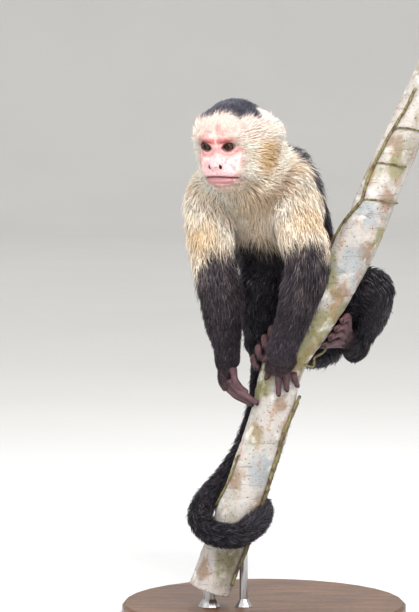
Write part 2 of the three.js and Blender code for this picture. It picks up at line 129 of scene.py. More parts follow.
class Chain:
    """A smooth line through stations (x, y, z, half-width, half-depth), sampled closely.

    side is the way the half-width points; without one the sections turn no more than the
    line does. coat is the depth of the coat at each station, which the half-sizes are
    reduced by, so that they are the skin's.
    """

    STEP = 1.5

    def __init__(self, stations, side=None, coat=0.0, caps=(0.0, 0.0)):
        rows = np.array([s if len(s) == 5 else (*s, s[3]) for s in stations], float)
        self.last = len(rows) - 1
        self.coat_at = np.broadcast_to(coat, len(rows)).astype(float)
        rows[:, 3:] -= self.coat_at[:, None]
        ends = np.vstack((2 * rows[0] - rows[1], rows, 2 * rows[-1] - rows[-2]))
        numbers = [0.0]
        for i in range(self.last):
            count = max(2, int(np.linalg.norm(rows[i + 1, :3] - rows[i, :3]) / self.STEP))
            numbers.extend(i + np.arange(1, count + 1) / count)
        self.number = np.array(numbers)
        i = np.minimum(self.number.astype(int), self.last - 1)
        t = (self.number - i)[:, None]
        a, b, c, d = ends[i], ends[i + 1], ends[i + 2], ends[i + 3]
        row = b + 0.5 * t * (c - a + t * (2 * a - 5 * b + 4 * c - d + t * (3 * (b - c) + d - a)))
        self.centre = row[:, :3]
        self.half = np.maximum(row[:, 3:], 0.5)
        self.along = unit(np.gradient(self.centre, axis=0))
        self.bend = np.gradient(self.along, axis=0)
        self.reach = np.concatenate(([0], np.cumsum(np.linalg.norm(np.diff(self.centre, axis=0), axis=1))))
        self.across = self._across(side)
        self.depth = np.cross(self.along, self.across)
        self.caps = [max(cap, 0.6) for cap in caps]
        self.coat = np.interp(self.number, np.arange(self.last + 1), self.coat_at)

    def _across(self, side):
        if side is not None:
            side = np.broadcast_to(np.array(side, float), self.along.shape)
            return unit(side - self.along * dot(side, self.along)[:, None])
        carried = []
        normal = np.array((0.91, -0.42, 0.0))
        for along in self.along:
            normal = unit(normal - along * (normal @ along))
            carried.append(normal)
        return np.array(carried)

    def locate(self, points):
        """The sample number nearest to each point, with a fraction."""
        first, second = starts_of(self, points)
        place = self.slide(points, first)
        doubtful = np.flatnonzero(second != first)
        if len(doubtful):
            other = self.slide(points[doubtful], second[doubtful])
            here = points[doubtful] - self.at(self.centre, place[doubtful])
            there = points[doubtful] - self.at(self.centre, other)
            nearer = dot(there, there) < dot(here, here)
            place[doubtful[nearer]] = other[nearer]
        return place

    def slide(self, points, start):
        """Moves each point's sample along the line to where the line passes nearest."""
        place = start.astype(float)
        top = len(self.number) - 1
        gap = max(self.reach[-1] / top, 1e-6)
        for _ in range(3):
            i = np.clip(np.rint(place).astype(int), 0, top)
            away = points - self.centre[i]
            turn = np.clip(1 - dot(away, self.bend[i]) / gap, 0.4, 3)
            step = dot(away, self.along[i]) / (gap * turn)
            place = np.clip(i + np.clip(step, -6, 6), 0, top)
        return place

    def at(self, values, place):
        low = np.clip(place.astype(int), 0, len(self.number) - 2)
        t = place - low
        if values.ndim > 1:
            t = t[:, None]
        return values[low] * (1 - t) + values[low + 1] * t

    def distance(self, points, place=None):
        """Rough signed distance to the skin."""
        place = self.locate(points) if place is None else place
        half = self.at(self.half, place)
        away = points - self.at(self.centre, place)
        p = dot(away, self.at(self.across, place))
        q = dot(away, self.at(self.depth, place))
        z = dot(away, self.at(self.along, place))
        cap = np.where(z < 0, self.caps[0], self.caps[1])
        ended = (place <= 0) | (place >= len(self.number) - 1)
        z = np.where(ended, z, 0) / cap
        near = np.sqrt((p / half[:, 0]) ** 2 + (q / half[:, 1]) ** 2 + z * z)
        slope = np.sqrt((p / half[:, 0] ** 2) ** 2 + (q / half[:, 1] ** 2) ** 2 + (z / cap) ** 2) + 1e-9
        return near * (near - 1) / slope

    def angle(self, points, place):
        """Angle of each point round the line, in turns from -0.5 to 0.5."""
        away = points - self.at(self.centre, place)
        p = dot(away, self.at(self.across, place))
        q = dot(away, self.at(self.depth, place))
        return np.arctan2(q, p) / (2 * math.pi)


# ---- The lattice of blocks that points are looked up in ----

BLOCK = 8
BLOCK_EDGE = BLOCK * CELL
# A box round the animal, without its perch.
FIELD_LOW = np.array((-96.0, -112.0, 70.0))
FIELD_HIGH = np.array((168.0, 118.0, 556.0))
BLOCKS = np.ceil((FIELD_HIGH - FIELD_LOW) / BLOCK_EDGE).astype(int)


def block_centres():
    axes = [FIELD_LOW[i] + (np.arange(BLOCKS[i]) + 0.5) * BLOCK_EDGE for i in range(3)]
    return np.stack(np.meshgrid(*axes, indexing="ij"), axis=-1).reshape(-1, 3)


BLOCK_CENTRES = block_centres()


def starts_of(chain, points):
    """First guesses at the chain's sample nearest to each point, from the point's block.

    The second guess is another stretch of the line that passes about as near, if any.
    """
    if not hasattr(chain, "block_starts"):
        count = len(chain.number)
        first = np.empty(len(BLOCK_CENTRES), np.int32)
        second = np.empty(len(BLOCK_CENTRES), np.int32)
        for i in range(0, len(first), 4096):
            away = BLOCK_CENTRES[i:i + 4096, None, :] - chain.centre[None, :, :]
            far = np.sqrt(np.sum(away * away, axis=-1))
            best = np.argmin(far, axis=1)
            rows = np.arange(len(best))
            least = far[rows, best]
            far[np.abs(np.arange(count)[None, :] - best[:, None]) < 9] = 1e9
            other = np.argmin(far, axis=1)
            rival = far[rows, other] < least + BLOCK_EDGE * 1.5
            first[i:i + 4096] = best
            second[i:i + 4096] = np.where(rival, other, best)
        chain.block_starts = np.stack((first, second), axis=-1).reshape(*BLOCKS, 2)
    where = np.clip(((points - FIELD_LOW) / BLOCK_EDGE).astype(int), 0, BLOCKS - 1)
    pairs = chain.block_starts[where[:, 0], where[:, 1], where[:, 2]]
    return pairs[:, 0], pairs[:, 1]


# ---- The head ----

HEAD_CENTRE = np.array((-30.0, -50.0, 496.0))
HEAD_YAW = math.radians(33.5)
HEAD_PITCH = math.radians(10)
FORWARD = np.array((
    -math.sin(HEAD_YAW) * math.cos(HEAD_PITCH),
    -math.cos(HEAD_YAW) * math.cos(HEAD_PITCH),
    -math.sin(HEAD_PITCH),
))
LEFT = np.array((math.cos(HEAD_YAW), -math.sin(HEAD_YAW), 0.0))
UP = np.cross(FORWARD, LEFT)
HEAD_AXES = np.stack((FORWARD, LEFT, UP))

EYE_RADIUS = 8.6
EYE_SIDE = 14.0
EYE_FORWARD = 27.9
EYE_UP = 4.0
LID_THICKNESS = 1.25
# Half the length and half the height of the opening between the lids, and its slant.
LID_OPENING = (7.3, 4.2)
LID_SLANT = math.radians(9)


def head_point(f, l, u):
    return HEAD_CENTRE + np.array((f, l, u), float) @ HEAD_AXES


def head_coordinates(points):
    return (points - HEAD_CENTRE) @ HEAD_AXES.T


def both_sides(lumps):
    """Lumps with a mirrored twin for each that lies off the middle."""
    out = []
    for (f, l, u), size, soft, *tilt in lumps:
        tilt = math.radians(tilt[0]) if tilt else 0.0
        out.append(((f, l, u), size, soft, tilt))
        if l:
            out.append(((f, -l, u), size, soft, -tilt))
    return out


# Centre and half-sizes, forward, left and up, how softly each joins the rest, and how
# far its outer end is tipped up, in degrees.
HEAD_LUMPS = both_sides([
    ((3, 0, 8), (35.0, 36.5, 36.5), 6),  # skull
    ((-19, 0, -2), (27, 29, 29), 10),  # back of the head
    ((11, 0, -5), (21.7, 31, 31), 6),  # face
    ((4, 21, -14), (21, 14, 21), 10),  # cheeks
    ((2, 23, 8), (22, 15, 20), 10),  # temples
    ((-14, 0, -22), (26, 29, 24), 10),  # throat
    ((22, 17, -9), (12, 9, 8), 8),  # cheekbones
    ((30.2, 11.5, 12.6), (8.8, 12.0, 4.8), 6, 8),  # brows
    ((30, 0, -5), (10, 4.6, 12), 5),  # bridge of the nose
    ((23, 0, -20), (20, 25, 14.5), 8),  # muzzle
    ((37.5, 0, -14.3), (8.6, 8.0, 4.4), 4),  # tip of the nose
    ((36.5, 6.0, -15.2), (6.0, 4.6, 3.8), 4),  # wings of the nose
    ((26.5, 0, -22.5), (16, 23.5, 6.6), 4),  # upper lip
    ((25.4, 0, -30.8), (15.6, 21.5, 4.9), 2.5),  # lower lip
    ((21.5, 0, -35.5), (13.5, 17, 7.2), 5),  # chin
])


def lump_distance(away, size):
    size = np.array(size, float)
    scaled = away / size
    near = np.linalg.norm(scaled, axis=-1)
    slope = np.linalg.norm(scaled / size, axis=-1) + 1e-9
    return near * (near - 1) / slope


def bare_head(local):
    """Distance to the head without its openings and folds, in the head's own axes."""
    field = None
    for centre, size, soft, tilt in HEAD_LUMPS:
        away = local - np.array(centre)
        if tilt:
            _, l, u = away.T
            away = np.stack((away[:, 0], l * math.cos(tilt) + u * math.sin(tilt),
                             u * math.cos(tilt) - l * math.sin(tilt)), axis=1)
        d = lump_distance(away, size)
        field = d if field is None else join(field, d, soft)
    for side in (1, -1):
        eye = np.array((EYE_FORWARD, side * EYE_SIDE, EYE_UP))
        d = np.linalg.norm(local - eye, axis=-1) - EYE_RADIUS - LID_THICKNESS
        field = join(field, d, 2.5)
    return field


def face_point(l, u):
    """The point of the face's surface at l to the left and u up."""
    low, high = 5.0, 60.0
    for _ in range(24):
        middle = (low + high) / 2
        inside = bare_head(np.array([[middle, l, u]]))[0] < 0
        low, high = (middle, high) if inside else (low, middle)
    return np.array((low, l, u))


def lid_arc(side, width, height, start, end, count=9):
    """Points on the face along part of an ellipse round one eye; angles from the outer corner."""
    points = []
    for angle in np.linspace(math.radians(start), math.radians(end), count):
        x = width * math.cos(angle)
        y = height * math.sin(angle) + x * math.tan(LID_SLANT)
        points.append(face_point(side * (EYE_SIDE + x), EYE_UP + y))
    return points


MOUTH_HALF = 20.5
NOSTRIL_PLACE = (41.0, 6.0, -15.6)


def mouth_height(l):
    return -26.4 - 3.2 * (l / MOUTH_HALF) ** 2


def face_folds():
    """Grooves of the face: the points each follows, its radius, and how far it stands off."""
    across = np.linspace(-MOUTH_HALF, MOUTH_HALF, 19)
    folds = [([face_point(l, mouth_height(l)) for l in across], 1.0, 0.1)]
    folds.append(([face_point(0, u) for u in (-19.5, -21, -22.5)], 1.0, 0.5))
    folds.append(([face_point(l, -36.0 + 0.02 * l * l) for l in (-8, -4, 0, 4, 8)], 1.2, 0.7))
    for side in (1, -1):
        folds.append((lid_arc(side, 8.4, 6.3, 25, 160), 0.6, 0.25))
        folds.append((lid_arc(side, 8.6, 6.6, 200, 345), 0.6, 0.3))
        folds.append((lid_arc(side, 11.0, 9.6, 215, 320), 0.8, 0.5))
        nose_to_mouth = [(9.5, -10), (13, -13), (17, -17.5), (20.5, -23)]
        folds.append(([face_point(side * l, u) for l, u in nose_to_mouth], 1.8, 0.8))
        folds.append(([face_point(side * l, u) for l, u in ((1.8, 6), (2.6, 9), (2.9, 13))], 0.9, 0.5))
        folds.append(([face_point(side * l, u) for l, u in ((4, 17.5), (11, 19), (19, 17))], 0.8, 0.55))
    return folds


FACE_FOLDS = face_folds()


def line_distance(points, line):
    best = np.full(len(points), 1e9)
    for a, b in zip(line[:-1], line[1:]):
        edge = b - a
        t = np.clip((points - a) @ edge / (edge @ edge), 0, 1)
        best = np.minimum(best, np.linalg.norm(points - a - t[:, None] * edge, axis=1))
    return best


def lid_opening(local, side):
    """Distance in the face's plane to the almond between the lids."""
    x = side * local[:, 1] - EYE_SIDE
    y = local[:, 2] - EYE_UP - x * math.tan(LID_SLANT)
    half_length, half_height = LID_OPENING
    arc = (half_length ** 2 + half_height ** 2) / (2 * half_height)
    shift = arc - half_height
    return np.maximum(np.hypot(x, y - shift), np.hypot(x, y + shift)) - arc


def head_field(points):
    local = head_coordinates(points)
    field = bare_head(local)
    close = np.abs(field) < 6
    face = close & (local[:, 0] > 15)
    near = local[face]
    d = field[face]
    for line, radius, stand_off in FACE_FOLDS:
        line = np.array(line)
        line = line + np.array((stand_off * radius, 0, 0))
        box = np.all((near > line.min(0) - 4) & (near < line.max(0) + 4), axis=1)
        if box.any():
            d[box] = cut(d[box], line_distance(near[box], line) - radius, 0.8)
    for side in (1, -1):
        nostril = near - np.array(NOSTRIL_PLACE) * (1, side, 1)
        d = cut(d, lump_distance(nostril, (2.9, 2.5, 3.1)), 0.6)
        eye = np.array((EYE_FORWARD, side * EYE_SIDE, EYE_UP))
        shell = EYE_RADIUS - 1.0 - np.linalg.norm(near - eye, axis=1)
        behind = EYE_FORWARD - near[:, 0]
        other = -side * near[:, 1]
        tunnel = np.maximum.reduce((lid_opening(near, side), shell, behind, other))
        d = cut(d, tunnel, 0.5)
    field[face] = d
    return field


EAR_SIZE = (8.5, 10.5, 3.0)


def ear_frame(side):
    lean = unit(side * LEFT - 0.6 * FORWARD)
    rise = unit(UP - lean * (UP @ lean))
    return np.stack((lean, rise, np.cross(lean, rise)))


def ear_middle(side):
    return head_point(-12, side * 36, 10)


def ear_field(points, side):
    axes = ear_frame(side)
    local = (points - ear_middle(side)) @ axes.T
    shell = lump_distance(local, EAR_SIZE)
    facing = 1 if axes[2] @ FORWARD > 0 else -1
    bowl = local - np.array((1.0, 0.5, facing * 3.6))
    return cut(shell, lump_distance(bowl, (5.8, 7.6, 3.0)), 1.4)


# ---- The skeleton ----

BODY_LEFT = (0.91, -0.42, 0.0)
BODY_BACK = unit(np.array((0.42, 0.91, 0.25)))

TRUNK = Chain([
    (2, -14, 466, 40, 42),
    (9, 0, 441, 52, 52),
    (16, 15, 407, 55, 54),
    (28, 31, 374, 50, 52),
    (48, 52, 339, 43, 45),
    (54, 64, 304, 41, 42),
    (55, 68, 277, 34, 34),
], BODY_LEFT, coat=(15, 12, 11, 10, 9, 9, 9), caps=(8, 15))
NECK = Chain([
    (4, -6, 446, 42, 42),
    (-8, -26, 462, 40, 40),
    (-19, -40, 479, 33, 34),
], BODY_LEFT, coat=(12, 12, 9), caps=(8, 6))
ARM_RIGHT = Chain([
    (-40, -4, 455, 23),
    (-58, -10, 438, 27),
    (-57, -26, 401, 25.5),
    (-52, -38, 363, 23.5),
    (-45, -40, 336, 24),
    (-43, -36, 308, 20),
    (-40, -30, 287, 15),
    (-39, -26, 270, 11.5),
], coat=(6, 8, 8, 7, 6.5, 5, 3.2, 1.4), caps=(8, 3))
ARM_LEFT = Chain([
    (21, -16, 462, 24),
    (28, -37, 442, 26),
    (36, -60, 406, 26),
    (43, -76, 370, 24),
    (35, -80, 342, 21.5),
    (27, -77, 314, 18.5),
    (19, -73, 292, 16.5),
    (15, -69, 281, 14),
], coat=(11, 8, 8, 7, 6, 5, 4, 2.5), caps=(8, 3))
THIGH_RIGHT = Chain([(36, 74, 300, 34), (14, 34, 329, 30), (-2, -4, 356, 24)], coat=(8, 7, 5.5), caps=(4, 14))
SHIN_RIGHT = Chain([
    (-5, -8, 350, 21), (-8, 12, 320, 20), (-8, 34, 296, 15), (-6, 46, 282, 12),
], coat=(5.5, 5.5, 4, 2), caps=(9, 3))
THIGH_LEFT = Chain([(72, 58, 302, 35), (92, 18, 330, 29), (113, -20, 349, 20)], coat=(8, 7, 5), caps=(4, 13))
SHIN_LEFT = Chain([
    (118, -22, 343, 18.5), (115, 4, 318, 18), (103, 28, 290, 14), (97, 37, 279, 12),
], coat=(5, 5.5, 4, 2), caps=(9, 3))
TAIL = Chain([
    (47, 86, 278, 22),
    (24, 76, 274, 18),
    (4, 56, 264, 16),
    (-1, 34, 246, 15),
    (-3, 18, 224, 14.5),
    (-10, 6, 200, 14.5),
    (-18, 4, 178, 14.5),
    (-29, 2, 159, 14.5),
    (-42, -6, 142, 14.5),
    (-58, -20, 126, 14.5),
    (-68, -36, 110, 14.5),
    (-60, -54, 97, 14.5),
    (-45, -65, 92, 14.5),
    (-26, -64, 93, 14.5),
    (-10, -50, 102, 14.5),
    (-4, -28, 112, 14.5),
    (-10, -4, 121, 14),
    (-5, 7, 138, 13.5),
    (3, 6, 162, 13),
    (11, 4, 185, 12),
    (18, 2, 207, 10.5),
    (23, 0, 228, 7),
], coat=[6, 5.5] + [5] * 17 + [4.5, 4, 3], caps=(4, 5))

PERCH_STATIONS = [
    (-58, -30, 30, 22.5),
    (-24, -30, 124, 22.5),
    (5, -30, 208, 22.5),
    (19, -30, 265, 22.5),
    (50, -30, 313, 22.5),
    (75, -28, 354, 22.5),
    (98, -24, 396, 22),
    (115, -20, 437, 21.5),
    (138, -15, 489, 21),
    (165, -10, 546, 20),
    (178, -8, 574, 20),
]
PERCH = Chain(PERCH_STATIONS, (1, 0, 0))


def on_perch(z, degrees, lift):
    """A point off the bark: height of the axis, angle from the front towards +X, distance."""
    number = np.interp(z, PERCH.centre[:, 2], np.arange(len(PERCH.number)))
    place = np.array([number])
    front = -PERCH.at(PERCH.depth, place)[0]
    if front[1] > 0:
        front = -front
    angle = math.radians(degrees)
    out = math.cos(angle) * front + math.sin(angle) * PERCH.at(PERCH.across, place)[0]
    return PERCH.at(PERCH.centre, place)[0] + out * (PERCH.at(PERCH.half, place)[0, 0] + lift)


def on_perch_all(rows):
    return [(*on_perch(*row[:3]), *row[3:]) for row in rows]


# How far the skin lies inside the outline where it is bare, or nearly so.
BARE = 0.35
PALM_COAT = (1.6, 1.4, 1.0, BARE)
PALM_CAPS = (12, 3)
PALM_RIGHT = Chain([
    (-39, -26, 270, 11.5), (-40, -25, 259, 12, 9), (-40, -23, 249, 12, 7.5), (-38, -22, 243, 10.5, 6),
], (0.5, 0.86, 0), coat=PALM_COAT, caps=PALM_CAPS)
PALM_LEFT = Chain([
    (15, -69, 281, 14),
    *on_perch_all([(272, -9, 11, 14.5, 10), (264, -12, 8, 14, 7.5), (258, -12, 6.5, 12.5, 6)]),
], (0.95, 0, -0.3), coat=(2.2, 1.6, 1.0, BARE), caps=PALM_CAPS)
FOOT_RIGHT = Chain([
    (-6, 46, 282, 12, 11), (-4, 36, 279, 12.5, 9), (4, 20, 281, 12.5, 7.5), (9, 8, 284, 11.5, 6.5),
], (0, 0, 1), coat=PALM_COAT, caps=PALM_CAPS)
FOOT_LEFT = Chain([
    (97, 37, 279, 12, 11), (96, 28, 279, 12.5, 9), (90, 8, 287, 12.5, 7.5), (83, -6, 294, 11.5, 6.5),
], (0.3, 0, 1), coat=PALM_COAT, caps=PALM_CAPS)

FINGER = (4.2, 3.7, 3.1)
TOE = (4.6, 4.1, 3.4)
FINGERS_RIGHT = {
    "thumb": [(-33, -34, 262), (-31, -39, 251), (-26, -40, 244), (-20, -40, 239)],
    "index": [(-36, -33, 250), (-27, -38, 240), (-18, -41, 234), (-9, -45, 228)],
    "middle": [(-39, -27, 246), (-30, -30, 236), (-21, -33, 231), (-14, -35, 226)],
    "ring": [(-41, -21, 245), (-33, -20, 235), (-24, -20, 229), (-16, -20, 225)],
    "little": [(-43, -15, 247), (-36, -12, 237), (-27, -10, 232), (-16, -8, 229)],
}
FINGERS_LEFT = {
    "thumb": [(274, -26, 8), (269, -42, 5), (264, -54, 3.6)],
    "index": [(265, -27, 6.5), (259, -29, 4.8), (252, -31, 3.4)],
    "middle": [(262, -9, 6.5), (251, -2, 4.8), (239, 4, 3.4)],
    "ring": [(262, 8, 6.5), (253, 15, 4.8), (245, 21, 3.4)],
    "little": [(263, 24, 6), (256, 36, 4.6), (251, 48, 3.4)],
}
TOES_LEFT = {
    "hallux": [(302, 118, 9), (297, 138, 5.5), (293, 158, 4)],
    "second": [(307, 104, 10), (304, 88, 5.2), (301, 70, 3.8)],
    "third": [(315, 106, 10), (312, 88, 5.2), (309, 70, 3.8)],
    "fourth": [(323, 108, 10), (320, 90, 5.2), (317, 74, 3.8)],
    "fifth": [(331, 112, 10), (328, 96, 5.2), (326, 82, 3.8)],
}
TOES_RIGHT = {
    "hallux": [(270, -136, 9), (266, -152, 5.5), (262, -170, 4)],
    "second": [(262, -112, 10), (258, -94, 5.2), (256, -76, 3.8)],
    "third": [(270, -112, 10), (266, -94, 5.2), (264, -76, 3.8)],
    "fourth": [(278, -114, 10), (275, -96, 5.2), (273, -80, 3.8)],
    "fifth": [(286, -118, 10), (284, -102, 5.2), (282, -88, 3.8)],
}


def digit(points, sizes):
    share = np.linspace(0, len(sizes) - 1, len(points))
    radii = np.interp(share, np.arange(len(sizes)), sizes)
    chain = Chain([(*p, r) for p, r in zip(points, radii)], coat=BARE, caps=(1, 2.6))
    # The finger swells at its joints and its tip.
    bend = np.cos(chain.number / chain.last * 2 * math.pi * 2.0)
    chain.half *= (1 + 0.05 * bend)[:, None]
    return chain


DIGITS = {}
for name, points in FINGERS_RIGHT.items():
    DIGITS[name + "_right"] = digit(points, FINGER)
for name, points in FINGERS_LEFT.items():
    DIGITS[name + "_left"] = digit([on_perch(*p) for p in points], FINGER)
# Each toe starts inside the end of its foot, a little aside from its neighbours.
for way, foot, toes in (("right", FOOT_RIGHT, TOES_RIGHT), ("left", FOOT_LEFT, TOES_LEFT)):
    for number, (name, points) in enumerate(toes.items()):
        root = foot.centre[-1] - foot.along[-1] * 5 + foot.across[-1] * 3.2 * (number - 2)
        DIGITS[f"toe_{name}_{way}"] = digit([root, *(on_perch(*p) for p in points)], TOE)


class Part:
    """A stretch of the animal: its chain, and how softly it joins what is there already.

    The join is root up to station until, and then falls to rest. hair, width and
    crowd give the length and width of the tufts and how many there are, at each station.
    """

    def __init__(self, name, chain, root=1.0, until=1.0, rest=0.8, hair=(0,), width=(1,), crowd=(0,)):
        self.name, self.chain = name, chain
        self.root, self.until, self.rest = root, until, rest
        self.hair, self.width, self.crowd = hair, width, crowd

    def field(self, points):
        place = self.chain.locate(points)
        number = self.chain.at(self.chain.number, place)
        soft = self.rest + (self.root - self.rest) * (1 - ramp(self.until * 0.6, self.until * 1.2, number))
        return self.chain.distance(points, place), soft

    def spread(self, values, place):
        number = self.chain.at(self.chain.number, place)
        return np.interp(number, np.linspace(0, self.chain.last, len(values)), values)

    def rough_field(self, points):
        """The field without fine detail."""
        return self.field(points)

    def box(self):
        reach = self.chain.half.max(axis=1)[:, None]
        return (self.chain.centre - reach).min(axis=0), (self.chain.centre + reach).max(axis=0)


class Head(Part):
    """The head, which is no chain; its hair is set by the face's own coordinates."""

    SOFT = 9.0
    REACH = 50

    def __init__(self):
        super().__init__("head", None)

    def field(self, points):
        return head_field(points), np.full(len(points), self.SOFT)

    def rough_field(self, points):
        return bare_head(head_coordinates(points)), np.full(len(points), self.SOFT)

    def box(self):
        return HEAD_CENTRE - self.REACH, HEAD_CENTRE + self.REACH


class Ear(Part):
    SOFT = 2.5
    REACH = 16

    def __init__(self, side):
        super().__init__("ear_left" if side > 0 else "ear_right", None)
        self.side = side

    def field(self, points):
        return ear_field(points, self.side), np.full(len(points), self.SOFT)

    def box(self):
        middle = ear_middle(self.side)
        return middle - self.REACH, middle + self.REACH


# What the two sides share of how their parts join and grow tufts.
ARM_TUFTS = {
    "root": 32, "until": 2.6, "hair": (24, 26, 28, 24, 15, 11, 9, 6),
    "width": (1.15, 1.15, 1.1, 1.05, 0.95, 0.85, 0.8, 0.65),
    "crowd": (0.7, 0.7, 0.75, 0.85, 0.95, 1.1, 1.4, 1.8),
}
PALM_TUFTS = {"root": 7, "until": 9, "crowd": (2.4, 2.4, 1.6)}
FOOT_TUFTS = {"root": 7, "until": 9, "hair": (17, 15, 11, 6), "width": (1.0, 0.7), "crowd": (1.6, 1.8, 1.6)}

PARTS = [
    Part("trunk", TRUNK, hair=(17, 25, 28, 22, 18, 17, 15), width=(1.25,), crowd=(0.6,)),
    Part("neck", NECK, root=12, until=9, hair=(27, 25, 20), width=(1.15,), crowd=(0.8,)),
    Head(),
    Ear(1),
    Ear(-1),
    Part("arm_right", ARM_RIGHT, **ARM_TUFTS),
    Part("arm_left", ARM_LEFT, **ARM_TUFTS),
    Part("thigh_right", THIGH_RIGHT, root=14, until=0.8, hair=(16, 15, 12), width=(1.4,), crowd=(0.4,)),
    Part("shin_right", SHIN_RIGHT, root=7, until=0.7, hair=(12, 12, 9, 6), width=(1.2, 1.1, 1.0, 0.8),
         crowd=(0.5, 0.6, 0.8, 1.0)),
    Part("thigh_left", THIGH_LEFT, root=14, until=0.8, hair=(17, 16, 13), width=(1.3,), crowd=(0.5,)),
    Part("shin_left", SHIN_LEFT, root=7, until=0.7, hair=(14, 14, 10, 6), width=(1.2, 1.1, 1.0, 0.8),
         crowd=(0.6, 0.7, 0.8, 1.0)),
    Part("tail", TAIL, root=12, until=2, hair=(14, 12, 11, 10, 9, 9, 9, 8), width=(1.1, 0.95, 0.85, 0.8),
         crowd=(0.6, 0.8, 1.0, 1.1, 1.1)),
    Part("palm_right", PALM_RIGHT, hair=(8, 7, 6, 4), width=(0.65, 0.55), **PALM_TUFTS),
    Part("palm_left", PALM_LEFT, hair=(9, 8, 6, 4), width=(0.7, 0.55), **PALM_TUFTS),
    Part("foot_right", FOOT_RIGHT, **FOOT_TUFTS),
    Part("foot_left", FOOT_LEFT, **FOOT_TUFTS),
]
for name, chain in DIGITS.items():
    PARTS.append(Part(name, chain, root=2.2, until=0.8, rest=0.5))
PART_NUMBER = {part.name: i for i, part in enumerate(PARTS)}


# ---- The skin's surface ----

FIELD_BAND = 4.0  # how far from the skin the fine grid holds distances


def joined_field(points, parts=None):
    """Distance to the whole skin, and the number of the part that each point lies nearest."""
    field = np.full(len(points), 1e3)
    nearest = np.zeros(len(points), int)
    least = np.full(len(points), 1e3)
    for number, part in enumerate(PARTS):
        if parts is not None and part.name not in parts:
            continue
        d, soft = part.field(points)
        field = join(field, d, soft)
        closer = d < least
        nearest[closer] = number
        least = np.minimum(least, d)
    return field, nearest


def fine_grid():
    """Distances on a fine grid near the skin, worked out block by block."""
    reach = BLOCK_EDGE * math.sqrt(3) / 2
    coarse = np.full(len(BLOCK_CENTRES), 1e3)
    by_part = []
    for part in PARTS:
        d, soft = part.field(BLOCK_CENTRES)
        by_part.append(d - soft)
        coarse = join(coarse, d, soft)
    live = np.flatnonzero(np.abs(coarse) < reach * 1.25 + 1.5)
    steps = (np.arange(BLOCK) + 0.5 - BLOCK / 2) * CELL
    inner = np.stack(np.meshgrid(steps, steps, steps, indexing="ij"), axis=-1).reshape(1, -1, 3)
    field = np.full((len(live), BLOCK ** 3), 1e3, np.float32)
    for part, d in zip(PARTS, by_part):
        mine = np.flatnonzero(d[live] < np.maximum(coarse[live], 0) + 1.3 * reach)
        if not len(mine):
            continue
        for some in np.array_split(mine, max(1, len(mine) // 1500)):
            points = (BLOCK_CENTRES[live[some], None, :] + inner).reshape(-1, 3)
            fine, soft = part.field(points)
            shape = (len(some), BLOCK ** 3)
            field[some] = join(field[some], fine.reshape(shape), soft.reshape(shape))
    blocks = np.where(coarse < 0, -FIELD_BAND, FIELD_BAND).astype(np.float32)
    full = np.repeat(blocks[:, None], BLOCK ** 3, axis=1)
    full[live] = np.clip(field, -FIELD_BAND, FIELD_BAND)
    bx, by, bz = BLOCKS
    full = full.reshape(bx, by, bz, BLOCK, BLOCK, BLOCK).transpose(0, 3, 1, 4, 2, 5)
    return np.ascontiguousarray(full.reshape(bx * BLOCK, by * BLOCK, bz * BLOCK))


def surface_of(full):
    """Points and four-cornered faces of the grid's zero surface."""
    grid = openvdb.FloatGrid(FIELD_BAND)
    grid.copyFromArray(full)
    points, triangles, quads = grid.convertToPolygons(0.0, 0.0)
    points = FIELD_LOW + (points + 0.5) * CELL
    return points, quads


class Guide:
    """A coarse grid of distances round the animal, which the tufts feel their way along."""

    STEP = 4.0
    REACH = 34.0

    def __init__(self):
        self.low = FIELD_LOW - 20
        self.count = np.ceil((FIELD_HIGH + 20 - self.low) / self.STEP).astype(int)
        axes = [self.low[i] + np.arange(self.count[i]) * self.STEP for i in range(3)]
        points = np.stack(np.meshgrid(*axes, indexing="ij"), axis=-1).reshape(-1, 3)
        field = np.full(len(points), self.REACH)
        for part in PARTS:
            if part.name in DIGITS:
                continue
            low, high = part.box()
            near = np.flatnonzero(np.all((points > low - self.REACH) & (points < high + self.REACH), axis=1))
            d, soft = part.rough_field(points[near])
            field[near] = join(field[near], np.minimum(d, self.REACH), soft)
        self.field = field.reshape(tuple(self.count))
        self.slope = np.stack(np.gradient(self.field, self.STEP), axis=-1)

    def sample(self, points):
        """Distance to the skin, and the direction straight away from it."""
        q = (points - self.low) / self.STEP
        low = np.clip(q.astype(int), 0, self.count - 2)
        t = np.clip(q - low, 0, 1)
        value, slope = 0, 0
        for i in (0, 1):
            wx = t[:, 0] if i else 1 - t[:, 0]
            for j in (0, 1):
                wy = t[:, 1] if j else 1 - t[:, 1]
                for k in (0, 1):
                    w = wx * wy * (t[:, 2] if k else 1 - t[:, 2])
                    at = (low[:, 0] + i, low[:, 1] + j, low[:, 2] + k)
                    value = value + w * self.field[at]
                    slope = slope + w[:, None] * self.slope[at]
        return value, unit(slope)


# ---- Meshes and pieces ----

def mesh_of(name, points, faces):
    """A mesh from points in millimetres and an array of faces with as many corners each."""
    faces = np.asarray(faces, np.int32)
    mesh = bpy.data.meshes.new(name)
    mesh.vertices.add(len(points))
    mesh.vertices.foreach_set("co", (np.asarray(points) * MM).astype(np.float32).ravel())
    mesh.loops.add(faces.size)
    mesh.loops.foreach_set("vertex_index", faces.ravel())
    mesh.polygons.add(len(faces))
    starts = np.arange(0, faces.size, faces.shape[1], dtype=np.int32)
    mesh.polygons.foreach_set("loop_start", starts)
    mesh.polygons.foreach_set("use_smooth", np.ones(len(faces), bool))
    mesh.update(calc_edges=True)
    return mesh


def piece(name, mesh, slot, material, *replaced):
    thing = bpy.data.objects.new(name, mesh)
    bpy.context.scene.collection.objects.link(thing)
    mesh.materials.append(material)
    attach(thing, "root")
    if replaced:
        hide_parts(*replaced)
    return thing


def points_of(mesh):
    flat = np.empty(len(mesh.vertices) * 3, np.float32)
    mesh.vertices.foreach_get("co", flat)
    return flat.reshape(-1, 3).astype(float) / MM


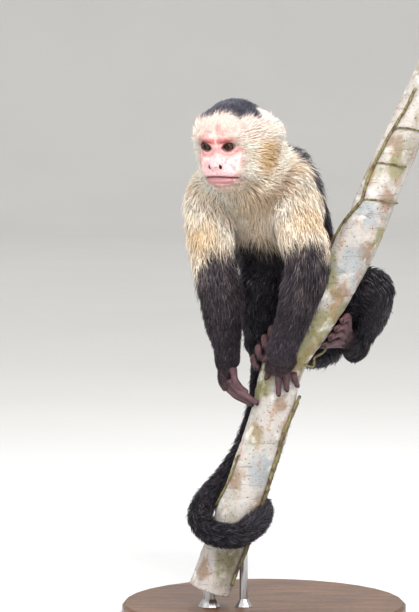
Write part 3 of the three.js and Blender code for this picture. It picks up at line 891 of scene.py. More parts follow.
def normals_of(mesh):
    flat = np.empty(len(mesh.vertices) * 3, np.float32)
    mesh.vertex_normals.foreach_get("vector", flat)
    return flat.reshape(-1, 3).astype(float)


def give_colour(mesh, name, values):
    """A colour for each point of the mesh; a single number for each becomes a grey."""
    values = np.asarray(values, float)
    if values.ndim == 1:
        values = np.repeat(values[:, None], 3, axis=1)
    rows = np.ones((len(values), 4), np.float32)
    rows[:, :3] = values
    layer = mesh.attributes.new(name, "FLOAT_COLOR", "POINT")
    layer.data.foreach_set("color", rows.ravel())


def grid_faces(rows, sides):
    """Four-cornered faces between rings of points, each ring closed."""
    i = np.arange(rows - 1)[:, None] * sides
    j = np.arange(sides)[None, :]
    k = (j + 1) % sides
    return np.stack((i + j, i + k, i + sides + k, i + sides + j), axis=-1).reshape(-1, 4)


def reshape(mesh, change):
    """Runs change on the mesh as a BMesh."""
    shape = bmesh.new()
    shape.from_mesh(mesh)
    change(shape)
    shape.to_mesh(mesh)
    shape.free()


def close_seams(mesh):
    """Joins points that lie in the same place, such as those at a pole."""
    reshape(mesh, lambda shape: bmesh.ops.remove_doubles(shape, verts=shape.verts, dist=1e-6))
    mesh.polygons.foreach_set("use_smooth", np.ones(len(mesh.polygons), bool))


def outward(mesh):
    """Turns every face of closed shapes to look out."""
    reshape(mesh, lambda shape: bmesh.ops.recalc_face_normals(shape, faces=shape.faces))


def ball_points(rows, count):
    """Points of a unit ball in rings round its first axis."""
    tilt = np.linspace(0, math.pi, rows)
    turn = np.arange(count) / count * 2 * math.pi
    across = np.sin(tilt)[:, None] * np.cos(turn)[None, :]
    up = np.sin(tilt)[:, None] * np.sin(turn)[None, :]
    ahead = np.cos(tilt)[:, None] * np.ones(count)[None, :]
    return np.stack((ahead, across, up), axis=-1).reshape(-1, 3)


def tube(line, radii, sides, across=None):
    """Points and four-cornered faces of a tube whose rings are closed."""
    line = np.asarray(line, float)
    along = unit(np.gradient(line, axis=0))
    if across is None:
        carried = []
        normal = np.array((0.31, -0.87, 0.38))
        for step in along:
            normal = unit(normal - step * (normal @ step))
            carried.append(normal)
        across = np.array(carried)
    depth = np.cross(along, across)
    turn = np.arange(sides) / sides * 2 * math.pi
    radii = np.asarray(radii, float)
    if radii.ndim == 1:
        radii = np.repeat(radii[:, None], sides, axis=1)
    ring = across[:, None, :] * np.cos(turn)[None, :, None] + depth[:, None, :] * np.sin(turn)[None, :, None]
    return (line[:, None, :] + ring * radii[:, :, None]).reshape(-1, 3), grid_faces(len(line), sides)


# ---- The skin ----

def largest_island(points, faces):
    """The biggest connected stretch of the surface."""
    label = np.arange(len(points))
    while True:
        least = label[faces].min(axis=1)
        lower = label.copy()
        for corner in range(faces.shape[1]):
            np.minimum.at(lower, faces[:, corner], least)
        lower = lower[lower]
        if np.array_equal(lower, label):
            break
        label = lower
    main = np.bincount(label).argmax()
    kept = label == main
    number = np.cumsum(kept) - 1
    return points[kept], number[faces[kept[faces].all(axis=1)]]


def refine(mesh, wanted):
    """Splits in four the faces whose corners are all wanted."""
    def split(shape):
        edges = [e for e in shape.edges if wanted[e.verts[0].index] and wanted[e.verts[1].index]]
        bmesh.ops.subdivide_edges(shape, edges=edges, cuts=1, use_grid_fill=True)

    reshape(mesh, split)


def settle(mesh, chosen, names):
    """Moves the chosen points onto the true surface of the named parts."""
    points = points_of(mesh)
    moved = points[chosen]
    step = 0.15
    for _ in range(2):
        value, _ = joined_field(moved, names)
        slope = np.stack([(joined_field(moved + axis * step, names)[0] - value) / step
                          for axis in np.eye(3)], axis=1)
        size = np.maximum(dot(slope, slope), 0.3)
        moved = moved - slope * (np.clip(value, -0.7, 0.7) / size)[:, None]
    points[chosen] = moved
    mesh.vertices.foreach_set("co", (points * MM).astype(np.float32).ravel())
    mesh.update()


def in_face(points):
    f, l, u = head_coordinates(points).T
    return (f > 10) & (np.abs(l) < 31) & (u > -43) & (u < 27)


def in_features(points):
    """Round the eyes, the nose and the mouth."""
    f, l, u = head_coordinates(points).T
    eyes = (np.hypot(np.abs(l) - EYE_SIDE, u - EYE_UP) < 12) & (f > 20)
    muzzle = (np.abs(l) < 21) & (u > -37) & (u < -8) & (f > 22)
    return eyes | muzzle


def rough_fields(points, margin):
    """Distance to each part, or 1000 at points further than the margin from the part's box."""
    fields = np.full((len(PARTS), len(points)), 1e3)
    for row, part in zip(fields, PARTS):
        low, high = part.box()
        near = np.flatnonzero(((points > low - margin) & (points < high + margin)).all(axis=1))
        if len(near):
            row[near] = part.rough_field(points[near])[0]
    return fields


def nearest_parts(points):
    """The number of the part that each point lies nearest."""
    return np.argmin(rough_fields(points, 15), axis=0)


FEET_AND_HANDS = ["palm_right", "palm_left", "foot_right", "foot_left", *DIGITS]


def make_skin():
    mesh = mesh_of("skin", *largest_island(*surface_of(fine_grid())))
    head = [part.name for part in PARTS if part.chain is None] + ["neck", "trunk"]
    for chosen in (in_face, in_features):
        refine(mesh, chosen(points_of(mesh)))
        settle(mesh, chosen(points_of(mesh)), head)
    ears = [PART_NUMBER["ear_left"], PART_NUMBER["ear_right"]]
    ends = ears + [PART_NUMBER[name] for name in FEET_AND_HANDS]
    refine(mesh, np.isin(nearest_parts(points_of(mesh)), ends))
    nearest = nearest_parts(points_of(mesh))
    settle(mesh, np.isin(nearest, ears), head)
    hands = FEET_AND_HANDS + ["arm_right", "arm_left", "shin_right", "shin_left"]
    settle(mesh, np.isin(nearest, ends) & ~np.isin(nearest, ears), hands)
    return mesh


# ---- What each point of the skin knows ----

DOWN = np.array((0.0, 0.0, -1.0))
THROAT = head_point(14, 0, -40)
# How far a part's say fades for each millimetre that another is nearer.
BLEND = 5.0


def face_edge(local):
    """Below 1 on the bare face, above 1 outside it."""
    _, l, u = local.T
    wide = mix(23.0, 26.0, ramp(-32, -6, u))
    return (np.abs(l / wide) ** 2.7 + np.abs((u + 10) / 27.5) ** 2.7) ** (1 / 2.7)


def bare_share(local):
    """1 on the bare face, 0 in the coat."""
    return (1 - ramp(0.86, 1.08, face_edge(local) + 0.07 * noise(local, 6))) * ramp(6, 14, local[:, 0])


def cap_share(local):
    """1 in the dark cap, 0 below its edge."""
    f, l, u = local.T
    edge = 35.0 - mix(0.005, 0.011, ramp(4, 10, f)) * l * l - 0.62 * np.maximum(4 - f, 0)
    edge = edge + 2.2 * noise(local, 5) + noise(local, 2)
    half = mix(23.0, 33.0, ramp(-5, 12, f))
    return ramp(-1.6, 1.6, u - edge) * ramp(2.5, -2.5, np.abs(l) - half)


def head_lay(points):
    """Flow, length, width, crowd and depth of the head's coat."""
    local = head_coordinates(points)
    f, l, u = local.T
    flow = unit(local - np.array((46.0, 0.0, -2.0)))
    side = ramp(16, 30, np.abs(l)) * ramp(20, 4, u)
    flow = flow + side[:, None] * np.array((-0.45, 0.0, -0.5))
    flow = unit(flow) @ HEAD_AXES
    forehead = ramp(2, 14, f) * ramp(8, 18, u) * ramp(29, 21, np.abs(l))
    length = mix(18.0, 10.0, ramp(20, 32, u))
    length = mix(length, 21.0, side)
    length = mix(length, 20.0, ramp(-20, -34, u))
    behind = ramp(6, -8, f) * ramp(10, 24, np.abs(l)) * ramp(26, 14, u)
    length = mix(length, 22.0, behind)
    temple = ramp(4, 14, f) * ramp(4, 12, u) * ramp(30, 22, u) * ramp(22, 29, np.abs(l))
    length = mix(length, 12.0, temple)
    length = mix(length, 2.9, forehead * (1 - cap_share(local)))
    bare = bare_share(local)
    margin = ramp(0.0, 0.55, 1 - bare)
    from_face = (face_edge(local) - 1) * 26
    near_face = ramp(-3, 16, from_face + 20 * ramp(12, 2, f))
    length = mix(np.minimum(length, 4.2), length, near_face)
    depth = length * mix(0.38, 0.15, forehead) * (1 + 0.25 * behind + 0.3 * temple)
    width = mix(0.5, 0.95, ramp(4, 14, length))
    crowd = mix(mix(3.0, 2.0, forehead), 1.4, ramp(4, 12, length)) * margin
    return flow, length, width, crowd, depth


def ear_lay(points, side):
    away = points - ear_middle(side)
    flow = unit(away + 10 * (-FORWARD) + 4 * side * LEFT - 4 * UP)
    count = len(points)
    rim = ramp(5, 12, np.linalg.norm(away, axis=1))
    inner = ramp(0.0, 0.5, away @ FORWARD / 10 + 0.2)
    length = mix(15.0, 12.0, inner) * mix(0.8, 1.0, rim)
    return flow, length, np.full(count, 0.8), np.full(count, 4.0), length * 0.3


def chain_lay(part, points):
    chain = part.chain
    place = chain.locate(points)
    flow = chain.at(chain.along, place)
    hair, width, crowd = (part.spread(v, place) for v in (part.hair, part.width, part.crowd))
    depth = chain.at(chain.coat, place)
    if part.name == "trunk":
        flow = unit(flow + 0.5 * DOWN)
    elif part.name == "neck":
        away = unit(points - THROAT)
        flow = unit(-0.5 * flow + 0.9 * away + 0.7 * DOWN)
    elif part.name.startswith("thigh"):
        flow = unit(0.7 * flow + 0.7 * DOWN)
    else:
        flow = unit(flow + 0.12 * DOWN)
    if part.name in ("trunk", "neck"):
        # The front of the chest fans out from the throat.
        away = unit(points - THROAT)
        front = ramp(0, -14, across_back(points)) * ramp(360, 420, points[:, 2])
        flow = unit(mix(flow, unit(away + 0.8 * DOWN), 0.75 * front))
        # Its coat stands deep there, and fills the hollows beside the arms.
        hair, depth = hair * (1 + 0.25 * front), depth * (1 + 0.8 * front)
    depth = np.maximum(depth, (0.34 if part.name.startswith("foot") else 0.2) * hair)
    return flow, hair, width, crowd, depth


def across_back(points):
    """How far each point lies behind the trunk's middle line."""
    height = np.clip(points[:, 2], 300, 470)
    line = TRUNK.centre[::-1]
    middle = np.stack([np.interp(height, line[:, 2], line[:, i]) for i in range(3)], axis=1)
    return (points - middle) @ BODY_BACK


class Survey:
    """The flow and the sizes of the coat at points of the skin, and the part each is on."""

    def __init__(self, points, normals):
        fields = rough_fields(points, 30)
        least = np.min(fields, axis=0)
        self.nearest = np.argmin(fields, axis=0)
        total = np.zeros(len(points))
        sums = [0.0] * 5
        for number, part in enumerate(PARTS):
            weight = np.exp(-(fields[number] - least) / BLEND)
            near = np.flatnonzero(weight > 0.02)
            if not len(near):
                continue
            if part.name == "head":
                lay = head_lay(points[near])
            elif part.chain is None:
                lay = ear_lay(points[near], part.side)
            else:
                lay = chain_lay(part, points[near])
            total[near] += weight[near]
            for i, values in enumerate(lay):
                if np.isscalar(sums[i]):
                    sums[i] = np.zeros((len(points), 3) if values.ndim > 1 else len(points))
                share = weight[near] if values.ndim == 1 else weight[near, None]
                sums[i][near] += values * share
        flow, self.length, self.width, self.crowd, self.depth = (
            s / (total[:, None] if s.ndim > 1 else total) for s in sums)
        flow = flow - normals * dot(flow, normals)[:, None]
        self.flow = unit(flow)
        # The digits are bare.
        self.crowd[np.isin(self.nearest, [PART_NUMBER[name] for name in DIGITS])] = 0


# ---- Markings ----

WHITE = colour(255, 249, 242)
CREAM = colour(250, 231, 206)
TAN = colour(214, 180, 136)
GOLD = colour(222, 182, 118)
# Painted shadow under the jaw.
BROWN = colour(112, 80, 58)
BLACK = colour(17, 15, 20)
GRIZZLE = colour(96, 84, 98)
FROST = colour(168, 152, 148)
# Blue-black of the cap, also painted as a bluish sheen on the dark coat.
CAP_AND_SHEEN = colour(34, 36, 54)
HAND = colour(88, 66, 76)
PINK = colour(252, 220, 218)
FOREHEAD = colour(253, 226, 217)
ROSE = colour(226, 152, 152)
RED = colour(196, 98, 92)
MUZZLE = colour(240, 198, 204)
LIP = colour(194, 134, 140)
# Painted shade in the mouth's groove.
MOUTH_LINE_SHADE = colour(74, 34, 42)
# Painted shade inside the nostrils.
NOSTRIL_SHADE = colour(36, 16, 18)
# Painted shade in the crease under the brow.
BROW_CREASE_SHADE = colour(110, 52, 60)
SPOT = colour(150, 84, 98)
# The lids' dark edge, with painted shade.
LID_RIM = colour(78, 40, 42)
EAR = colour(228, 170, 160)
# Painted highlight on the digits.
KNUCKLE_HIGHLIGHT = colour(150, 112, 116)


def pale_share(points, nearest):
    """1 in the white and cream of the shoulders and chest, 0 in the black."""
    z = points[:, 2]
    ragged = 8 * noise(points, 16) + 9 * noise(points, 5) + 9 * noise(points, 2.2)
    edge = np.full(len(points), 413.0)
    right, left = (nearest == PART_NUMBER[name] for name in ("arm_right", "arm_left"))
    edge[right] = 396 - 30 * ramp(-58, -70, points[right, 0])
    edge[left] = 404 - 14 * ramp(44, 58, points[left, 0])
    pale = ramp(-8, 8, z + ragged - edge)
    behind = across_back(points) + 0.25 * ragged
    limit = np.where(right | left, -3.0, -9.0)
    return pale * (1 - ramp(-3, 3, behind - limit)), edge


def face_tint(local):
    """Colour of the bare face."""
    f, l, u = local.T
    side = np.abs(l)
    tint = mix(PINK, FOREHEAD, ramp(6, 20, u))
    mottle = ramp(-0.1, 0.6, noise(local, 5) + 0.6 * noise(local, 2))
    tint = mix(tint, ROSE, 0.72 * mottle)
    tint = mix(tint, RED, 0.35 * ramp(0.35, 0.7, noise(local, 3.1, 6.1)) * ramp(30, 20, side))
    eye = np.hypot((side - EYE_SIDE) / 1.25, u - EYE_UP)
    tint = mix(tint, ROSE, (0.34 + 0.3 * mottle) * ramp(11.5, 7, eye))
    # Under the brow ridge: a red band, partly the skin's own red and partly painted shade, with darker
    # painted shade in its crease.
    brow = ramp(4.4, 1.2, np.abs(u - 10.2 - 0.16 * (side - 10))) * ramp(25, 19, side)
    tint = mix(tint, RED, 0.8 * brow * ramp(-0.8, 0.1, noise(local, 3.2)))
    crease_shade = ramp(1.5, 0.4, np.abs(u - 9.0 - 0.16 * (side - 10))) * ramp(22, 16, side) * ramp(3, 7, side)
    tint = mix(tint, BROW_CREASE_SHADE, 0.6 * crease_shade)
    between = ramp(7, 2, side) * ramp(-4, 4, u) * ramp(16, 9, u)
    tint = mix(tint, RED, 0.22 * between)
    streak = ramp(4, 1, np.abs(l - 2)) * ramp(12, 18, u) * ramp(30, 24, u)
    tint = mix(tint, RED, 0.35 * streak)
    muzzle = ramp(22, 14, np.hypot(l, (u + 22) * 1.2))
    tint = mix(tint, MUZZLE, 0.8 * muzzle)
    below_eye = ramp(3, 1, np.abs(eye - 9.5)) * ramp(2, -2, u - EYE_UP)
    tint = mix(tint, RED, 0.36 * below_eye)
    spots = ramp(0.30, 0.6, noise(local, 1.6, 2.7)) * ramp(26, 16, np.hypot(l, (u + 22) * 1.2))
    tint = mix(tint, SPOT, 0.5 * spots)
    # A dark rim round each eye's opening: the lids' own dark edge, with painted shade from the brow's
    # overhang.
    rim = sum(ramp(1.9, 0.7, np.abs(lid_opening(local, way))) * (way * l > 0) for way in (1, -1))
    tint = mix(tint, LID_RIM, 0.85 * np.clip(rim, 0, 1) * ramp(22, 26, f))
    below = mouth_height(l) - u
    lips = ramp(23.5, 19.5, side) * ramp(20, 26, f)
    tint = mix(tint, LIP, 0.85 * lips * ramp(9.5, 7.5, below) * ramp(-2.2, 0, below))
    tint = mix(tint, LIP, 0.4 * lips * ramp(3.5, 1.5, np.abs(below)))
    # Painted shade in the groove between the lips.
    tint = mix(tint, MOUTH_LINE_SHADE, 0.9 * lips * ramp(1.5, 0.5, np.abs(below)))
    # Painted shade inside the nostrils.
    nose = np.linalg.norm(np.stack((f, side, u), axis=1) - np.array(NOSTRIL_PLACE), axis=1)
    return mix(tint, NOSTRIL_SHADE, ramp(3.6, 2.4, nose))


# Warm patches on the front of the shoulders: middle and radius.
TAN_PATCHES = [((-66, -42, 412), 22), ((42, -58, 424), 24), ((-46, -50, 440), 14)]


def markings(points, survey):
    """Linear colour of the skin and of the coat that grows from it."""
    nearest = survey.nearest
    pale, edge = pale_share(points, nearest)
    broad = 0.5 + 0.5 * noise(points, 26)
    fine = 0.5 + 0.5 * noise(points, 5, 3.3)
    light = mix(WHITE, CREAM, np.clip(0.25 + 0.7 * broad, 0, 1))
    front = ramp(4, -12, across_back(points))
    light = mix(light, TAN, 0.42 * front * ramp(0.45, 0.9, fine))
    # Painted shadow of the head lies tan and brown under the jaw; down the middle of the chest the coat is
    # tan with grey streaks.
    local = head_coordinates(points)
    jaw_shadow = np.linalg.norm((points - np.array((8, -58, 455))) / np.array((32, 46, 17)), axis=1)
    on_body = np.isin(nearest, [PART_NUMBER[n] for n in ("trunk", "neck")])
    light = mix(light, TAN, 0.5 * on_body * ramp(1.5, 0.9, jaw_shadow))
    light = mix(light, BROWN, 0.5 * on_body * ramp(1.1, 0.5, jaw_shadow))
    for middle, size in TAN_PATCHES:
        far = np.linalg.norm(points - np.array(middle), axis=1) / size
        light = mix(light, GOLD, 0.45 * ramp(1.1, 0.3, far))
    middle = ramp(30, 6, np.abs(points[:, 0] + 8)) * ramp(440, 405, points[:, 2]) * on_body
    light = mix(light, TAN, 0.6 * middle)
    light = mix(light, GRIZZLE, 0.75 * middle * ramp(0.35, 0.7, fine) * ramp(432, 400, points[:, 2]))
    dark = mix(BLACK, GRIZZLE, 0.25 * ramp(0.5, 1, fine))
    forearm = np.isin(nearest, [PART_NUMBER[n] for n in ("arm_right", "arm_left")])
    dark = mix(dark, GRIZZLE, 0.30 * forearm * ramp(0.2, 0.8, broad))
    frosted = forearm * ramp(300, 398, points[:, 2]) * ramp(-0.1, 0.7, noise(points, 3.2, 4.8))
    dark = mix(dark, FROST, 0.42 * frosted)
    # Painted sheen: broad patches of the dark coat, away from the forearms, take the cap's blue-black.
    top = ramp(0.1, 0.8, 0.5 + 0.5 * noise(points, 40)) * (1 - forearm)
    dark = mix(dark, CAP_AND_SHEEN, 0.35 * top)
    tint = mix(dark, light, pale)
    # The head.
    f, l, u = local.T
    head = nearest == PART_NUMBER["head"]
    coat = mix(WHITE, CREAM, np.clip(0.15 + 0.5 * broad, 0, 1))
    gold = np.linalg.norm((local - np.array((10, 30, -6))) / np.array((15, 16, 24)), axis=1)
    coat = mix(coat, mix(GOLD, TAN, 0.4), ramp(1.15, 0.4, gold + 0.15 * noise(local, 7, 6.6)))
    coat = mix(coat, GOLD, 0.3 * ramp(-22, -34, u) * ramp(30, 10, np.abs(l - 14)))
    brow = ramp(4, 14, f) * ramp(4, 12, u)
    coat = mix(coat, mix(WHITE, FOREHEAD, 0.75), brow)
    coat = mix(coat, ROSE, 0.5 * brow * ramp(0.15, 0.6, noise(local, 6, 3.9)) * ramp(26, 18, u)
               * ramp(23, 18, np.abs(l)))
    flush = np.hypot((l - 2.5) / 4, (u - 22) / 7) + 0.3 * noise(local, 3)
    coat = mix(coat, RED, 0.5 * brow * ramp(1.2, 0.3, flush))
    coat = mix(coat, CAP_AND_SHEEN, cap_share(local))
    nape = ramp(-26, -38, f) * ramp(24, 10, np.abs(l))
    coat = mix(coat, BLACK, nape)
    face = mix(coat, face_tint(local), bare_share(local))
    tint[head] = face[head]
    ears = np.isin(nearest, [PART_NUMBER["ear_left"], PART_NUMBER["ear_right"]])
    tint[ears] = mix(EAR, WHITE, 0.75)
    hands = np.isin(nearest, [PART_NUMBER[n] for n in FEET_AND_HANDS])
    palms = np.isin(nearest, [PART_NUMBER[n] for n in FEET_AND_HANDS[:4]])
    shade = mix(HAND, BLACK, np.clip(0.1 + 0.3 * fine + 0.5 * palms, 0, 0.9))
    feet = np.isin(nearest, [PART_NUMBER[n] for n in FEET_AND_HANDS[2:4]])
    shade[feet] = mix(BLACK, GRIZZLE, 0.15 * fine[feet])
    # Painted highlight: pinkish patches on the digits, where the broad noise is high.
    tint[hands] = mix(shade, KNUCKLE_HIGHLIGHT, 0.3 * ramp(0.55, 0.9, broad) * ~palms)[hands]
    return tint


# ---- Tufts ----

# Parts that share a piece of the coat.
PART_GROUP = {"neck": "trunk", "ear_left": "head", "ear_right": "head"}

SUNK = 0.7  # how far a tuft's root lies below the skin
PATCH = 0.001  # a side of a tuft on the map that its colour is kept on
MOST_TRIANGLES = 190000  # in one piece of the coat
TRIANGLES = 1_260_000  # in the whole coat
LONG = 7.5  # tufts longer than this have three lengths, and follow the body's shape


def chosen_roots(mesh, crowd, count, random):
    """The triangle and the corner weights of each root; crowd is wanted tufts for the area."""
    mesh.calc_loop_triangles()
    corners = np.empty(len(mesh.loop_triangles) * 3, np.int32)
    mesh.loop_triangles.foreach_get("vertices", corners)
    corners = corners.reshape(-1, 3)
    points = points_of(mesh)
    a, b, c = (points[corners[:, i]] for i in range(3))
    area = np.linalg.norm(np.cross(b - a, c - a), axis=1) / 2
    wanted = np.cumsum(area * crowd[corners].mean(axis=1))
    picks = (np.arange(count) + random.random(count)) / count * wanted[-1]
    chosen = corners[np.minimum(np.searchsorted(wanted, picks), len(corners) - 1)]
    weights = random.random((count, 2))
    over = weights.sum(axis=1) > 1
    weights[over] = 1 - weights[over]
    return chosen, np.column_stack((1 - weights.sum(axis=1), weights))


def spread_to(values, chosen, weights):
    if values.ndim == 1:
        return np.sum(values[chosen] * weights, axis=1)
    return np.sum(values[chosen] * weights[:, :, None], axis=1)


def turned(flow, normal, angle):
    """flow turned about the normal."""
    return flow * np.cos(angle)[:, None] + np.cross(normal, flow) * np.sin(angle)[:, None]


def tuft_lines(tufts, steps, guide):
    """The points along each tuft, and the way up at each."""
    root, normal, flow = tufts["root"], tufts["normal"], tufts["flow"]
    length, height, curl = tufts["length"], tufts["height"], tufts["curl"]
    line, ups = [root - normal * SUNK], [normal]
    here, along = root.copy(), flow
    start, _ = guide.sample(root)
    for k in range(1, steps + 1):
        t = k / steps
        rise = math.sin(t * math.pi / 2) ** 0.85
        if steps == 2:
            up = normal
            here = root + along * (length * t)[:, None] + normal * (height * rise)[:, None]
        else:
            _, up = guide.sample(here)
            along = unit(along - up * (0.9 * dot(along, up))[:, None])
            along = turned(along, up, curl)
            here = here + along * (length / steps)[:, None]
            value, up = guide.sample(here)
            lift = start + height * rise - value
            here = here + up * np.clip(lift, -5, 5)[:, None]
        line.append(here)
        ups.append(up)
    return line, ups


def tuft_mesh(tufts, steps, guide):
    """Arrays of the tufts' points, triangles, colours and map places."""
    line, ups = tuft_lines(tufts, steps, guide)
    count = len(line[0])
    profile = (0.75, 1.0, 0.7) if steps == 3 else (0.9, 0.9)
    # Painted shade and light: each tuft is darker at its root, deep in the coat, and a little lighter at its
    # tip.
    root_shade_tip_light = (0.74, 0.91, 1.0, 1.06) if steps == 3 else (0.84, 0.97, 1.05)
    rings, colours = [], []
    for k in range(steps):
        ahead = unit(line[k + 1] - line[max(k - 1, 0)])
        up = unit(ups[k] - ahead * dot(ups[k], ahead)[:, None])
        side = np.cross(ahead, up)
        half = (tufts["width"] * profile[k] / 2)[:, None]
        corners = (line[k] + side * half, line[k] + up * half * 0.8, line[k] - side * half)
        rings.append(np.stack(corners, axis=1))
        colours.append(np.repeat(tufts["tint"][:, None, :] * root_shade_tip_light[k], 3, axis=1))
    points = np.concatenate([*rings, line[steps][:, None, :]], axis=1)
    colours = np.concatenate([*colours, tufts["tint"][:, None, :] * root_shade_tip_light[steps]], axis=1)
    triangles, places = [(0, 1, 2)], [((0, 0), (1, 0), (1, 0.5))]
    tall = 3.0
    for k in range(steps):
        low, high = tall * k / steps, tall * (k + 1) / steps
        for i in range(3):
            a, b = 3 * k + i, 3 * k + (i + 1) % 3
            if k == steps - 1:
                triangles.append((a, 3 * steps, b))
                places.append(((i, low), (i + 0.5, high), (i + 1, low)))
            else:
                triangles.append((a, a + 3, b + 3))
                places.append(((i, low), (i, high), (i + 1, high)))
                triangles.append((a, b + 3, b))
                places.append(((i, low), (i + 1, high), (i + 1, low)))
    each = points.shape[1]
    faces = np.array(triangles)[None, :, :] + (np.arange(count) * each)[:, None, None]
    maps = np.array(places)[None] * PATCH + tufts["chart"][:, None, None, :]
    return points.reshape(-1, 3), faces.reshape(-1, 3), colours.reshape(-1, 3), maps.reshape(-1, 2)


def chart_places(points, nearest):
    """Where each root lies on the unwrap of its part, from 0 to 1 each way."""
    places = np.full((len(points), 2), 0.5)
    for number, part in enumerate(PARTS):
        on = np.flatnonzero(nearest == number)
        if not len(on):
            continue
        if part.chain is None:
            away = unit(head_coordinates(points[on]))
            round_ = np.arctan2(away[:, 1], away[:, 0]) / (2 * math.pi) + 0.5
            tall = np.arcsin(np.clip(away[:, 2], -1, 1)) / math.pi + 0.5
        else:
            place = part.chain.locate(points[on])
            round_ = part.chain.angle(points[on], place) + 0.5
            tall = place / (len(part.chain.number) - 1)
        places[on] = np.stack((round_, tall), axis=1)
    return 0.003 + places * 0.99


def grow_coat(mesh, survey, tint):
    """Grows the tufts on the skin, and makes a piece of each part's coat."""
    random = np.random.default_rng(SEED)
    guide = Guide()
    crowd = np.where(survey.length > 1.5, survey.crowd, 0)
    long_share = 0.62
    count = int(TRIANGLES * COAT_SHARE / (16 * long_share + 10 * (1 - long_share)))
    chosen, weights = chosen_roots(mesh, crowd, count, random)
    points, normals = points_of(mesh), normals_of(mesh)
    values = {
        "root": points, "normal": normals, "flow": survey.flow, "length": survey.length,
        "width": survey.width, "height": survey.depth, "tint": tint,
    }
    tufts = {name: spread_to(v, chosen, weights) for name, v in values.items()}
    root = tufts["root"]
    tufts["normal"] = unit(tufts["normal"])
    flow = tufts["flow"] - tufts["normal"] * dot(tufts["flow"], tufts["normal"])[:, None]
    sway = 0.24 * noise(root, 17) + 0.18 * noise(root, 6, 7.7) + 0.10 * random.normal(size=count)
    tufts["flow"] = turned(unit(flow), tufts["normal"], sway)
    tufts["curl"] = 0.10 * noise(root, 9, 2.2) + 0.06 * random.normal(size=count)
    tufts["length"] = tufts["length"] * (0.95 + 0.25 * noise(root, 8, 5.1)) * random.uniform(0.7, 1.2, count)
    layer = random.uniform(0.3, 1.0, count) ** 0.8
    stray = random.random(count) < 0.06
    tufts["height"] = tufts["height"] * (layer + 0.35 * stray) * (1 + 0.15 * noise(root, 11, 9.4))
    tufts["width"] = tufts["width"] * random.uniform(0.75, 1.25, count)
    tufts["tint"] = strand_tint(tufts["tint"], root, random)
    nearest = survey.nearest[chosen[:, 0]]
    tufts["chart"] = chart_places(root, nearest)
    pale = tufts["tint"].mean(axis=1) > 0.16
    material = {True: coat_material("coat_pale", 0.6, 0.15), False: coat_material("coat_dark", 0.4, 0.05)}
    groups = np.array([PART_GROUP.get(part.name, part.name) for part in PARTS])[nearest]
    for group in sorted(set(groups)):
        for shade in (True, False):
            mine = np.flatnonzero((groups == group) & (pale == shade))
            if len(mine) < 40:
                continue
            slot = ("coat_cream" if group == "trunk" else "coat_white") if shade else "coat_black"
            label = f"coat_{group}_{'pale' if shade else 'dark'}"
            make_coat(label, mine, tufts, guide, slot, material[shade])


def strand_tint(tint, root, random):
    """Each tuft's own colour: pale coat has warmer and whiter locks, dark coat greyer ones."""
    count = len(tint)
    bright = tint.mean(axis=1)
    pale = ramp(0.08, 0.35, bright)
    lock = noise(root, 4.5, 1.3) + 0.8 * random.normal(size=count)
    tint = tint * (1 + mix(0.22, 0.10, pale) * lock)[:, None]
    warm = random.random(count) < 0.14
    tint = np.where((warm & (pale > 0.5))[:, None], mix(tint, TAN, 0.55), tint)
    grey = random.random(count) < 0.16
    tint = np.where((grey & (pale < 0.5))[:, None], mix(tint, GRIZZLE, 0.6), tint)
    return np.clip(tint, 0.002, 0.97)


def make_coat(name, mine, tufts, guide, slot, material):
    """One or more pieces of coat from the chosen tufts, none with too many triangles."""
    long = tufts["length"][mine] > LONG
    triangles = np.where(long, 16, 10)
    order = np.argsort(tufts["chart"][mine, 1], kind="stable")
    total = triangles.sum()
    parts = int(total // MOST_TRIANGLES) + 1
    share = np.minimum((np.cumsum(triangles[order]) * parts // (total + 1)).astype(int), parts - 1)
    for number in range(parts):
        some = mine[order[share == number]]
        arrays = []
        for steps in (3, 2):
            which = some[(tufts["length"][some] > LONG) == (steps == 3)]
            if len(which):
                arrays.append(tuft_mesh({k: v[which] for k, v in tufts.items()}, steps, guide))
        start = np.cumsum([0] + [len(a[0]) for a in arrays])
        points, faces, colours, maps = (
            np.concatenate(rows) for rows in (
                [a[0] for a in arrays], [a[1] + s for a, s in zip(arrays, start)],
                [a[2] for a in arrays], [a[3] for a in arrays]))
        label = f"{name}_{number + 1}"
        mesh = mesh_of(label, points, faces)
        give_colour(mesh, "tint", colours)
        layer = mesh.uv_layers.new(name="OFBake")
        layer.uv.foreach_set("vector", maps.astype(np.float32).ravel())
        piece(label, mesh, slot, material)


# ---- Materials ----

